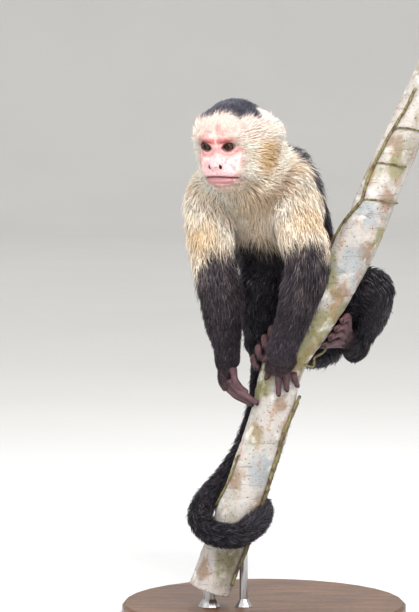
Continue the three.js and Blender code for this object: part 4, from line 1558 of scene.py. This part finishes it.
class Nodes:
    """A material's node tree, with short ways to add and join nodes."""

    def __init__(self, name):
        self.material = bpy.data.materials.new(name)
        self.material.use_nodes = True
        self.tree = self.material.node_tree
        self.shader = self.tree.nodes["Principled BSDF"]

    def add(self, kind, settings=(), **inputs):
        node = self.tree.nodes.new(kind)
        for key, value in dict(settings).items():
            setattr(node, key, value)
        for key, value in inputs.items():
            self.put(node.inputs[key.replace("_", " ")], value)
        return node

    def put(self, socket, value):
        if isinstance(value, bpy.types.NodeSocket):
            self.tree.links.new(value, socket)
        elif hasattr(value, "__len__") and len(value) == 3 and socket.type == "RGBA":
            socket.default_value = (*value, 1)
        else:
            socket.default_value = value

    def set(self, **inputs):
        for key, value in inputs.items():
            self.put(self.shader.inputs[key.replace("_", " ")], value)

    def attribute(self, name):
        return self.add("ShaderNodeAttribute", {"attribute_name": name})

    def place(self, stretch=(1, 1, 1)):
        """The place on the piece in metres, stretched by each axis."""
        where = self.add("ShaderNodeTexCoord").outputs["Object"]
        scaled = self.add("ShaderNodeVectorMath", {"operation": "MULTIPLY"})
        self.put(scaled.inputs[0], where)
        self.put(scaled.inputs[1], stretch)
        return scaled.outputs[0]

    def noise(self, scale, detail=4.0, where=None, roughness=0.55):
        where = self.place() if where is None else where
        node = self.add("ShaderNodeTexNoise", Vector=where, Scale=scale, Detail=detail, Roughness=roughness)
        return node.outputs["Fac"]

    def cells(self, scale):
        edges = {"feature": "DISTANCE_TO_EDGE"}
        node = self.add("ShaderNodeTexVoronoi", edges, Vector=self.place(), Scale=scale)
        return node.outputs["Distance"]

    def ramp(self, value, low, high, out_low=0.0, out_high=1.0):
        node = self.add("ShaderNodeMapRange", {"interpolation_type": "SMOOTHSTEP"})
        for key, number in (("Value", value), ("From Min", low), ("From Max", high),
                            ("To Min", out_low), ("To Max", out_high)):
            self.put(node.inputs[key], number)
        return node.outputs["Result"]

    def mix(self, a, b, share, blend="MIX"):
        node = self.add("ShaderNodeMix", {"data_type": "RGBA", "blend_type": blend})
        self.put(node.inputs["Factor"], share)
        self.put(node.inputs["A"], a)
        self.put(node.inputs["B"], b)
        return node.outputs["Result"]

    def maths(self, operation, a, b=0.0):
        node = self.add("ShaderNodeMath", {"operation": operation})
        self.put(node.inputs[0], a)
        self.put(node.inputs[1], b)
        return node.outputs[0]

    def bump(self, height, strength, distance):
        node = self.add("ShaderNodeBump", Strength=strength, Distance=distance, Height=height)
        self.put(self.shader.inputs["Normal"], node.outputs["Normal"])


BLACK_SHADE = (0.0, 0.0, 0.0)
FLUSH_SHADE = (0.62, 0.20, 0.17)
PORE_SHADE = (0.45, 0.12, 0.10)
IRIS_BROWN = (0.11, 0.042, 0.018)
IRIS_DARK = (0.022, 0.008, 0.005)
IRIS_EDGE = (0.006, 0.004, 0.004)
EYE_WHITE = (0.20, 0.135, 0.11)
WHITE_SHADE = (1.0, 1.0, 1.0)


def coat_material(name, roughness, sheen):
    """Hair: the tuft's own colour with fine variation along it."""
    nodes = Nodes(name)
    tint = nodes.attribute("tint").outputs["Color"]
    fleck = nodes.ramp(nodes.noise(420, 3), 0.3, 0.7)
    varied = nodes.mix(tint, nodes.mix(tint, WHITE_SHADE, 0.16, "SOFT_LIGHT"), fleck)
    nodes.set(Base_Color=varied, Specular_IOR_Level=0.3, Sheen_Weight=sheen, Sheen_Roughness=0.45)
    nodes.set(Roughness=nodes.ramp(nodes.noise(900, 2), 0.25, 0.75, roughness - 0.08, roughness + 0.1))
    nodes.bump(nodes.noise(2600, 2), 0.18, 0.0004)
    return nodes.material


def skin_material():
    """Bare skin with fine creases and pores, and short flat hair where there is coat."""
    nodes = Nodes("skin")
    tint = nodes.attribute("tint").outputs["Color"]
    bare = nodes.attribute("bare").outputs["Fac"]
    mottle = nodes.ramp(nodes.noise(260, 5), 0.35, 0.72)
    flushed = nodes.mix(tint, FLUSH_SHADE, nodes.maths("MULTIPLY", mottle, 0.20))
    dots = nodes.ramp(nodes.noise(900, 2), 0.60, 0.74)
    dotted = nodes.mix(flushed, nodes.mix(flushed, PORE_SHADE, 0.35), dots)
    hairy = nodes.mix(tint, nodes.mix(tint, BLACK_SHADE, 0.35), nodes.ramp(nodes.noise(1400, 2), 0.4, 0.7))
    nodes.set(Base_Color=nodes.mix(hairy, dotted, bare), Subsurface_Weight=0.12, Subsurface_Scale=0.004,
              Subsurface_Radius=(1.0, 0.35, 0.2), Specular_IOR_Level=0.4)
    nodes.set(Roughness=nodes.ramp(nodes.noise(500, 3), 0.3, 0.7, 0.42, 0.62))
    creases = nodes.ramp(nodes.cells(620), 0.0, 0.16)
    wrinkles = nodes.noise(300, 4, nodes.place((1, 1, 3.2)))
    pores = nodes.ramp(nodes.noise(2400, 2), 0.35, 0.6)
    height = nodes.maths("MULTIPLY", creases, 0.35)
    height = nodes.maths("ADD", height, nodes.maths("MULTIPLY", wrinkles, 0.9))
    height = nodes.maths("ADD", height, nodes.maths("MULTIPLY", pores, 0.25))
    nodes.bump(height, 0.55, 0.0007)
    return nodes.material


def eye_material():
    """A dark brown iris round a black pupil, under a wet front."""
    nodes = Nodes("eye")
    gaze = nodes.attribute("gaze")
    away = nodes.add("ShaderNodeVectorMath", {"operation": "LENGTH"})
    nodes.put(away.inputs[0], gaze.outputs["Vector"])
    far = away.outputs["Value"]
    spokes = nodes.noise(9, 4, gaze.outputs["Vector"])
    iris = nodes.mix(IRIS_BROWN, IRIS_DARK, nodes.ramp(spokes, 0.35, 0.65))
    shade = nodes.mix(BLACK_SHADE, iris, nodes.ramp(far, 0.42, 0.50))
    shade = nodes.mix(shade, IRIS_EDGE, nodes.ramp(far, 0.80, 0.98))
    shade = nodes.mix(shade, EYE_WHITE, nodes.ramp(far, 1.06, 1.22))
    nodes.set(Base_Color=shade, Roughness=0.2, Coat_Weight=1.0, Coat_Roughness=0.03, Coat_IOR=1.3,
              Specular_IOR_Level=0.05)
    nodes.bump(nodes.noise(700, 2), 0.04, 0.0002)
    return nodes.material


def nail_material():
    nodes = Nodes("nail")
    streak = nodes.ramp(nodes.noise(700, 3, nodes.place((1, 1, 0.3))), 0.35, 0.7)
    nodes.set(Base_Color=nodes.mix(colour(24, 19, 22), colour(56, 44, 48), streak), Specular_IOR_Level=0.25)
    nodes.set(Roughness=nodes.ramp(nodes.noise(1500, 2), 0.3, 0.7, 0.45, 0.65))
    nodes.bump(streak, 0.2, 0.0003)
    return nodes.material


def bark_material():
    """Pale bark with flakes, dark pits and fine rings; the big patches come from the mesh."""
    nodes = Nodes("bark")
    tint = nodes.attribute("tint").outputs["Color"]
    along = nodes.place((1, 1, 0.45))
    flakes = nodes.ramp(nodes.noise(95, 6, along, 0.65), 0.54, 0.64)
    stain = nodes.ramp(nodes.noise(34, 7, along, 0.72), 0.46, 0.66)
    shade = nodes.mix(tint, colour(178, 140, 118), nodes.maths("MULTIPLY", flakes, 0.65))
    shade = nodes.mix(shade, colour(134, 128, 104), nodes.maths("MULTIPLY", stain, 0.6))
    pits = nodes.ramp(nodes.noise(420, 4), 0.60, 0.68)
    shade = nodes.mix(shade, colour(92, 78, 66), nodes.maths("MULTIPLY", pits, 0.8))
    pale = nodes.ramp(nodes.noise(60, 5), 0.55, 0.70)
    shade = nodes.mix(shade, colour(240, 238, 232), nodes.maths("MULTIPLY", pale, 0.6))
    rings = nodes.ramp(nodes.noise(150, 3, nodes.place((0.25, 0.25, 3.0))), 0.60, 0.68)
    shade = nodes.mix(shade, colour(120, 104, 90), nodes.maths("MULTIPLY", rings, 0.45))
    nodes.set(Base_Color=shade, Specular_IOR_Level=0.3)
    nodes.set(Roughness=nodes.ramp(nodes.noise(200, 3), 0.3, 0.7, 0.62, 0.88))
    height = nodes.maths("ADD", nodes.noise(520, 5), nodes.maths("MULTIPLY", flakes, 0.5))
    height = nodes.maths("SUBTRACT", height, nodes.maths("MULTIPLY", rings, 0.5))
    nodes.bump(height, 0.5, 0.0012)
    return nodes.material


def vine_material():
    nodes = Nodes("vine")
    grain = nodes.ramp(nodes.noise(700, 4, nodes.place((1, 1, 0.3))), 0.35, 0.65)
    shade = nodes.mix(colour(98, 88, 56), colour(136, 130, 86), grain)
    shade = nodes.mix(shade, colour(84, 62, 44), nodes.ramp(nodes.noise(130, 3), 0.5, 0.62))
    nodes.set(Base_Color=shade, Roughness=nodes.ramp(grain, 0, 1, 0.5, 0.7))
    nodes.bump(grain, 0.4, 0.0005)
    return nodes.material


def stand_wood_material():
    """Dark walnut with rings seen from above and grain along the edge."""
    nodes = Nodes("stand_wood")
    bent = nodes.noise(9, 3)
    where = nodes.place((1.0, 9.0, 9.0))
    grain = nodes.noise(16, 6, where, 0.62)
    fine = nodes.noise(160, 4, nodes.place((1.0, 14.0, 14.0)))
    shade = nodes.mix(colour(70, 46, 32), colour(118, 80, 54), nodes.ramp(grain, 0.38, 0.66))
    shade = nodes.mix(shade, colour(48, 30, 22), nodes.maths("MULTIPLY", nodes.ramp(fine, 0.55, 0.7), 0.5))
    shade = nodes.mix(shade, colour(92, 60, 40), nodes.maths("MULTIPLY", bent, 0.4))
    nodes.set(Base_Color=shade, Coat_Weight=0.15, Coat_Roughness=0.25)
    nodes.set(Roughness=nodes.ramp(fine, 0.3, 0.7, 0.34, 0.5))
    nodes.bump(fine, 0.15, 0.0004)
    return nodes.material


def steel_material():
    nodes = Nodes("stand_steel")
    brush = nodes.noise(900, 4, nodes.place((1.0, 1.0, 0.03)))
    shade = nodes.mix((0.42, 0.42, 0.43), (0.62, 0.62, 0.63), nodes.ramp(brush, 0.35, 0.65))
    nodes.set(Base_Color=shade, Metallic=1.0, Roughness=nodes.ramp(brush, 0.3, 0.7, 0.24, 0.38))
    nodes.bump(brush, 0.1, 0.0002)
    return nodes.material


# ---- Eyes and nails ----

IRIS_RADIUS = 5.2
# Where the gaze leaves each ball, to the animal's left and up, in radii.
GAZE = (-0.10, -0.04)


def eye_mesh(side):
    """A ball with a slight bulge in front, and the place of each point across the gaze."""
    rows, count = 40, 48
    ball = ball_points(rows, count)
    swell = 1 + 0.035 * ramp(0.74, 1.0, ball[:, 0])
    middle = np.array((EYE_FORWARD, side * EYE_SIDE, EYE_UP))
    local = middle + ball * (EYE_RADIUS * swell)[:, None]
    mesh = mesh_of("eye", HEAD_CENTRE + local @ HEAD_AXES, grid_faces(rows, count)[:, ::-1])
    gaze = np.zeros((len(ball), 3), np.float32)
    gaze[:, :2] = (ball[:, 1:] - np.array(GAZE)) * EYE_RADIUS / IRIS_RADIUS
    gaze[:, 2] = np.where(ball[:, 0] < 0, 3, 0)
    layer = mesh.attributes.new("gaze", "FLOAT_VECTOR", "POINT")
    layer.data.foreach_set("vector", gaze.ravel())
    close_seams(mesh)
    return mesh


NAIL_SIZE = (3.0, 2.5, 0.55)  # half-length, half-width and half-thickness


def nails_mesh():
    """A curved plate on the back of each digit's tip, away from the perch."""
    points, faces = [], []
    start = 0
    for name, chain in DIGITS.items():
        tip, along = chain.centre[-1], chain.along[-1]
        number = np.interp(tip[2], PERCH.centre[:, 2], np.arange(len(PERCH.number)))
        out = tip - PERCH.at(PERCH.centre, np.array([number]))[0]
        out = unit(out - along * (out @ along))
        side = np.cross(along, out)
        radius = chain.half[-1, 0]
        middle = tip + along * 0.7 + out * (radius * 0.62)
        rows, count = 9, 14
        a, b, c = ball_points(rows, count).T
        long, wide, thick = np.array(NAIL_SIZE) * (radius / 3.1)
        bend = -0.16 * (b * wide) ** 2 / wide - 0.10 * np.maximum(a * long, 0) ** 2 / long
        place = (middle + along * (a * long)[:, None] + side * (b * wide)[:, None]
                 + out * (c * thick + bend)[:, None])
        points.append(place)
        faces.append(start + grid_faces(rows, count))
        start += len(place)
    mesh = mesh_of("nails", np.concatenate(points), np.concatenate(faces))
    close_seams(mesh)
    outward(mesh)
    return mesh


# ---- The branch ----

BARK_SHADE = colour(190, 185, 181)
MOSS = colour(122, 118, 58)
BLUE_GREY = colour(150, 160, 168)
RUST = colour(140, 106, 80)
CUT_PALE = colour(196, 160, 116)
CUT_RING = colour(150, 112, 76)
# Heights of the shallow rings round the bark.
BARK_RINGS = (64, 128, 186, 244, 338, 402, 452, 518)
# Patches on the bark: height, degrees round from the front, radius, and colour.
PATCHES = [
    (285, 60, 15, RUST), (268, 20, 12, RUST), (300, -30, 13, RUST), (332, 55, 16, MOSS), (345, 25, 12, RUST),
    (228, 15, 10, RUST), (206, 60, 13, RUST), (142, -45, 12, RUST), (120, 60, 14, RUST), (64, 20, 14, MOSS),
    (48, -40, 12, RUST), (388, 40, 13, RUST), (440, 30, 12, RUST), (490, -20, 12, RUST), (366, -45, 12, MOSS),
    (240, -64, 14, MOSS), (256, -66, 12, MOSS), (404, 60, 14, MOSS), (458, -50, 12, MOSS),
    (292, 10, 26, MOSS), (316, 30, 20, MOSS), (252, -50, 22, MOSS), (350, -20, 15, MOSS),
    (372, 10, 20, BLUE_GREY), (420, -10, 16, BLUE_GREY), (160, 20, 18, BLUE_GREY), (190, -30, 14, MOSS),
    (470, 20, 14, MOSS), (110, -15, 20, BARK_SHADE), (300, 170, 30, MOSS), (420, 150, 26, BLUE_GREY),
    (180, 190, 28, MOSS), (90, 140, 20, BLUE_GREY), (520, 200, 22, MOSS),
]


def branch_mesh():
    """The bark, its patches of colour, and the sawn end at each end."""
    rings, sides = ((420, 96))
    number = np.linspace(0, len(PERCH.number) - 1, rings)
    line = PERCH.at(PERCH.centre, number)
    across = PERCH.at(PERCH.across, number)
    radii = PERCH.at(PERCH.half, number)[:, :1] - 0.7 + np.zeros((rings, sides))
    flat, _ = tube(line, radii, sides, across)
    rough = (0.55 * noise(flat, 30) + 0.35 * noise(flat, 9, 4.4) + 0.22 * noise(flat * (1, 1, 0.6), 3.4, 8.8)
             + 0.12 * noise(flat, 1.5, 1.1)).reshape(rings, sides)
    z = flat[:, 2].reshape(rings, sides)
    joints = sum(np.exp(-((z - at - 1.5 * noise(flat, 14).reshape(rings, sides)) / 1.6) ** 2)
                 for at in BARK_RINGS)
    radii = radii + rough - 0.5 * joints
    # The sawn ends are flat, with a rounded edge.
    points, faces = tube(line, radii, sides, across)
    shade = np.tile(BARK_SHADE, (len(points), 1))
    ragged = 1 + 0.45 * noise(points, 7) + 0.25 * noise(points, 2.6)
    for height, degrees, size, tone in PATCHES:
        far = np.linalg.norm((points - on_perch(height, degrees, 0)) * (1, 1, 0.75), axis=1) * ragged
        shade = mix(shade, tone, 0.72 * ramp(size, size * 0.4, far))
    shade = shade * (1 + 0.10 * noise(points, 18, 5.5))[:, None]
    pieces, tones, all_faces = [points], [shade], [faces]
    start = len(points)
    for first, out in ((0, -PERCH.along[0]), (start - sides, PERCH.along[-1])):
        ring = points[first:first + sides]
        middle = ring.mean(axis=0)
        inner = np.concatenate([middle + (ring - middle) * share + out * 0.25
                                for share in (0.96, 0.75, 0.5, 0.25, 0.02)])
        hoops = [first, *range(start, start + len(inner), sides)] + np.arange(sides)[:, None]
        for low, high in zip(hoops.T[:-1], hoops.T[1:]):
            all_faces.append(np.stack((low, np.roll(low, -1), np.roll(high, -1), high), axis=-1))
        pieces.append(inner)
        far = np.linalg.norm(inner - inner.mean(axis=0), axis=1)
        tones.append(mix(CUT_PALE, CUT_RING, 0.5 + 0.5 * np.sin(far * 2.4 + noise(inner, 6))))
        start += len(inner)
    mesh = mesh_of("branch", np.concatenate(pieces), np.concatenate(all_faces))
    give_colour(mesh, "tint", np.concatenate(tones))
    outward(mesh)
    return mesh


# Stems along the branch: rows of height, degrees from the front, and distance off the
# bark, then the stem's radius.
VINES = [
    ([(239, 78, 3.0), (204, 46, 1.4), (175, 52, 1.4), (151, 56, 1.4), (133, 61, 1.4), (101, 66, 1.4),
      (68, 60, 1.4), (42, 56, 1.4)], 1.7),
    ([(232, 90, 2.5), (204, 54, 1.2), (178, 60, 1.2), (151, 63, 1.2), (120, 70, 1.2), (90, 73, 1.2),
      (64, 66, 1.2)], 1.3),
    ([(168, -52, 0.5), (164, -60, 1.0), (155, -58, 1.0), (137, -62, 1.0), (110, -88, 1.6)], 1.2),
    ([(360, -96, 3.0), (373, -92, 2.2), (388, -88, 2.2), (406, -74, 1.5), (420, -51, 1.5), (432, -38, 1.5),
      (452, -46, 1.5), (470, -46, 1.5), (486, -42, 1.5), (504, -39, 1.5), (524, -32, 1.5),
      (548, -30, 1.5)], 1.6),
    ([(505, -40, 1.2), (509, -10, 1.0), (513, 38, 1.0), (514, 60, 0.6)], 1.0),
    ([(469, -46, 1.2), (472, -10, 1.0), (475, 26, 1.0), (477, 48, 0.6)], 1.0),
    ([(432, -38, 1.2), (437, 10, 1.0), (440, 50, 1.0), (443, 88, 1.4)], 1.0),
    ([(312, 78, 1.5), (297, 92, 6.0), (287, 84, 1.6), (279, 92, 5.5), (276, 50, 1.0)], 1.2),
]


def vine_mesh():
    """Thin stems with knots, closed at both ends."""
    points, faces, start = [], [], 0
    for rows, radius in VINES:
        corners = np.array([on_perch(*row) for row in rows])
        chain = Chain([(*p, radius) for p in corners])
        line = chain.centre
        wobble = np.stack([noise(line, 9, i * 3.1) for i in range(3)], axis=1) * radius * 0.35
        joint = np.exp(-((chain.number % 1 - 0.5) / 0.06) ** 2)
        swell = radius * (1 + 0.18 * noise(line, 5, 6.6) + 0.25 * joint)
        swell[0] = swell[-1] = 0.05
        p, f = tube(line + wobble, swell, 10)
        points.append(p)
        faces.append(f + start)
        start += len(p)
    return mesh_of("vines", np.concatenate(points), np.concatenate(faces))


# ---- The studio ----

CAMERA_PLACE = (-0.0577, -3.0227, 0.5367)
CAMERA_DIP = math.radians(4.0)  # below the level
PHOTO_HEIGHT = 612
FOCAL_PIXELS = 2884.6
SENSOR = 36.0


def make_camera():
    data = bpy.data.cameras.new("camera")
    data.sensor_fit = "VERTICAL"
    data.sensor_height = SENSOR
    data.lens = FOCAL_PIXELS * SENSOR / PHOTO_HEIGHT
    data.clip_end = 100
    camera = bpy.data.objects.new("camera", data)
    bpy.context.scene.collection.objects.link(camera)
    camera.location = CAMERA_PLACE
    camera.rotation_euler = (math.pi / 2 - CAMERA_DIP, 0, 0)
    bpy.context.scene.camera = camera


def make_stage():
    """A round pale floor that turns up into a wall with no edge."""
    flat, bend, wall = 9.0, 2.5, 4.0
    profile = [(r, 0.0) for r in (0.02, 0.5, 1.5, 3.0, 5.0, 7.0, flat)]
    for angle in np.linspace(0, math.pi / 2, 16)[1:]:
        profile.append((flat + bend * math.sin(angle), bend * (1 - math.cos(angle))))
    profile.append((flat + bend, bend + wall))
    sides = 96
    turn = np.arange(sides) / sides * 2 * math.pi
    points = np.array([(r * math.cos(t), r * math.sin(t), z) for r, z in profile for t in turn] + [(0, 0, 0)])
    faces = grid_faces(len(profile), sides)
    ring = np.arange(sides)
    middle = np.stack((ring, np.roll(ring, -1), np.full(sides, len(points) - 1)), axis=-1)
    mesh = bpy.data.meshes.new("floor")
    mesh.from_pydata(points.tolist(), [], faces.tolist() + middle.tolist())
    mesh.update()
    mesh.polygons.foreach_set("use_smooth", np.ones(len(mesh.polygons), bool))
    nodes = Nodes("floor")
    nodes.set(Base_Color=nodes.mix((0.56, 0.557, 0.55), (0.60, 0.597, 0.59), nodes.noise(2.0, 3)),
              Specular_IOR_Level=0.2)
    nodes.set(Roughness=nodes.ramp(nodes.noise(40, 2), 0.3, 0.7, 0.75, 0.85))
    floor = bpy.data.objects.new("floor", mesh)
    bpy.context.scene.collection.objects.link(floor)
    mesh.materials.append(nodes.material)


ROOM_COLOUR = (1.0, 0.985, 0.96, 1)
ROOM_STRENGTH = 1.36
CHEST_PLACE = (-0.02, -0.03, 0.42)
# Name, place, width, watts and colour of each lamp. All point at the chest.
LAMPS = [
    ("key", (0.5, -1.7, 2.1), 0.9, 54, (1.0, 0.97, 0.93)),
    ("fill", (-2.0, -1.6, 1.0), 1.4, 15, (0.95, 0.97, 1.0)),
    ("catch", (-0.55, -1.9, 0.95), 0.25, 2.2, (1.0, 1.0, 1.0)),
    ("top", (0.3, 0.9, 2.0), 0.9, 26, (0.86, 0.92, 1.0)),
]


def soft_light(name, place, size, power, tone):
    data = bpy.data.lights.new(name, "AREA")
    data.shape = "DISK"
    data.size = size
    data.energy = power
    data.color = tone
    light = bpy.data.objects.new(name, data)
    light.location = place
    away = Vector(place) - Vector(CHEST_PLACE)
    light.rotation_euler = away.to_track_quat("Z", "Y").to_euler()
    bpy.context.scene.collection.objects.link(light)


def light_studio():
    world = bpy.data.worlds.new("world")
    world.use_nodes = True
    background = world.node_tree.nodes["Background"]
    background.inputs["Color"].default_value = ROOM_COLOUR
    background.inputs["Strength"].default_value = ROOM_STRENGTH
    bpy.context.scene.world = world
    for lamp in LAMPS:
        soft_light(*lamp)
    bpy.context.scene.view_settings.view_transform = "Standard"


# ---- Putting it together ----

FLESH = [
    "chest", "neck", "head", "ear_left", "ear_right", "abdomen", "pelvis",
    *[f"{part}_{side}" for part in ("upper_arm", "forearm", "thigh", "shin", "hand", "foot",
                                    "thumb", "index", "middle", "ring", "little", "toe_hallux",
                                    "toe_second", "toe_third", "toe_fourth", "toe_fifth")
      for side in ("right", "left")],
    *[f"tail_{number}" for number in range(1, 7)],
]

make_camera()
light_studio()
make_stage()

skin = make_skin()
places, normals = points_of(skin), normals_of(skin)
survey = Survey(places, normals)
tint = markings(places, survey)
on_head = survey.nearest == PART_NUMBER["head"]
bare = np.where(on_head, bare_share(head_coordinates(places)), 0)
bare[np.isin(survey.nearest, [PART_NUMBER[name] for name in FEET_AND_HANDS])] = 0.6
# Painted shade: under the coat the skin is darkened to 0.72 of its markings.
give_colour(skin, "tint", np.clip(tint * mix(0.72, 1.0, bare)[:, None], 0.002, 0.95))
give_colour(skin, "bare", bare)
grow_coat(skin, survey, tint)
piece("skin", skin, "face_skin", skin_material(), *FLESH)

eye_finish = eye_material()
piece("eyeball_left", eye_mesh(1), "eye", eye_finish, "eye_left")
piece("eyeball_right", eye_mesh(-1), "eye", eye_finish, "eye_right")
piece("nails", nails_mesh(), "nail", nail_material())
piece("branch", branch_mesh(), "bark", bark_material(), "perch")
piece("vines", vine_mesh(), "vine", vine_material())

wood, steel = stand_wood_material(), steel_material()
for name, finish in (("stand_base", wood), ("stand_rod_main", steel), ("stand_rod_side", steel)):
    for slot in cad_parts[name].material_slots:
        slot.material = finish

bpy.context.view_layer.update()
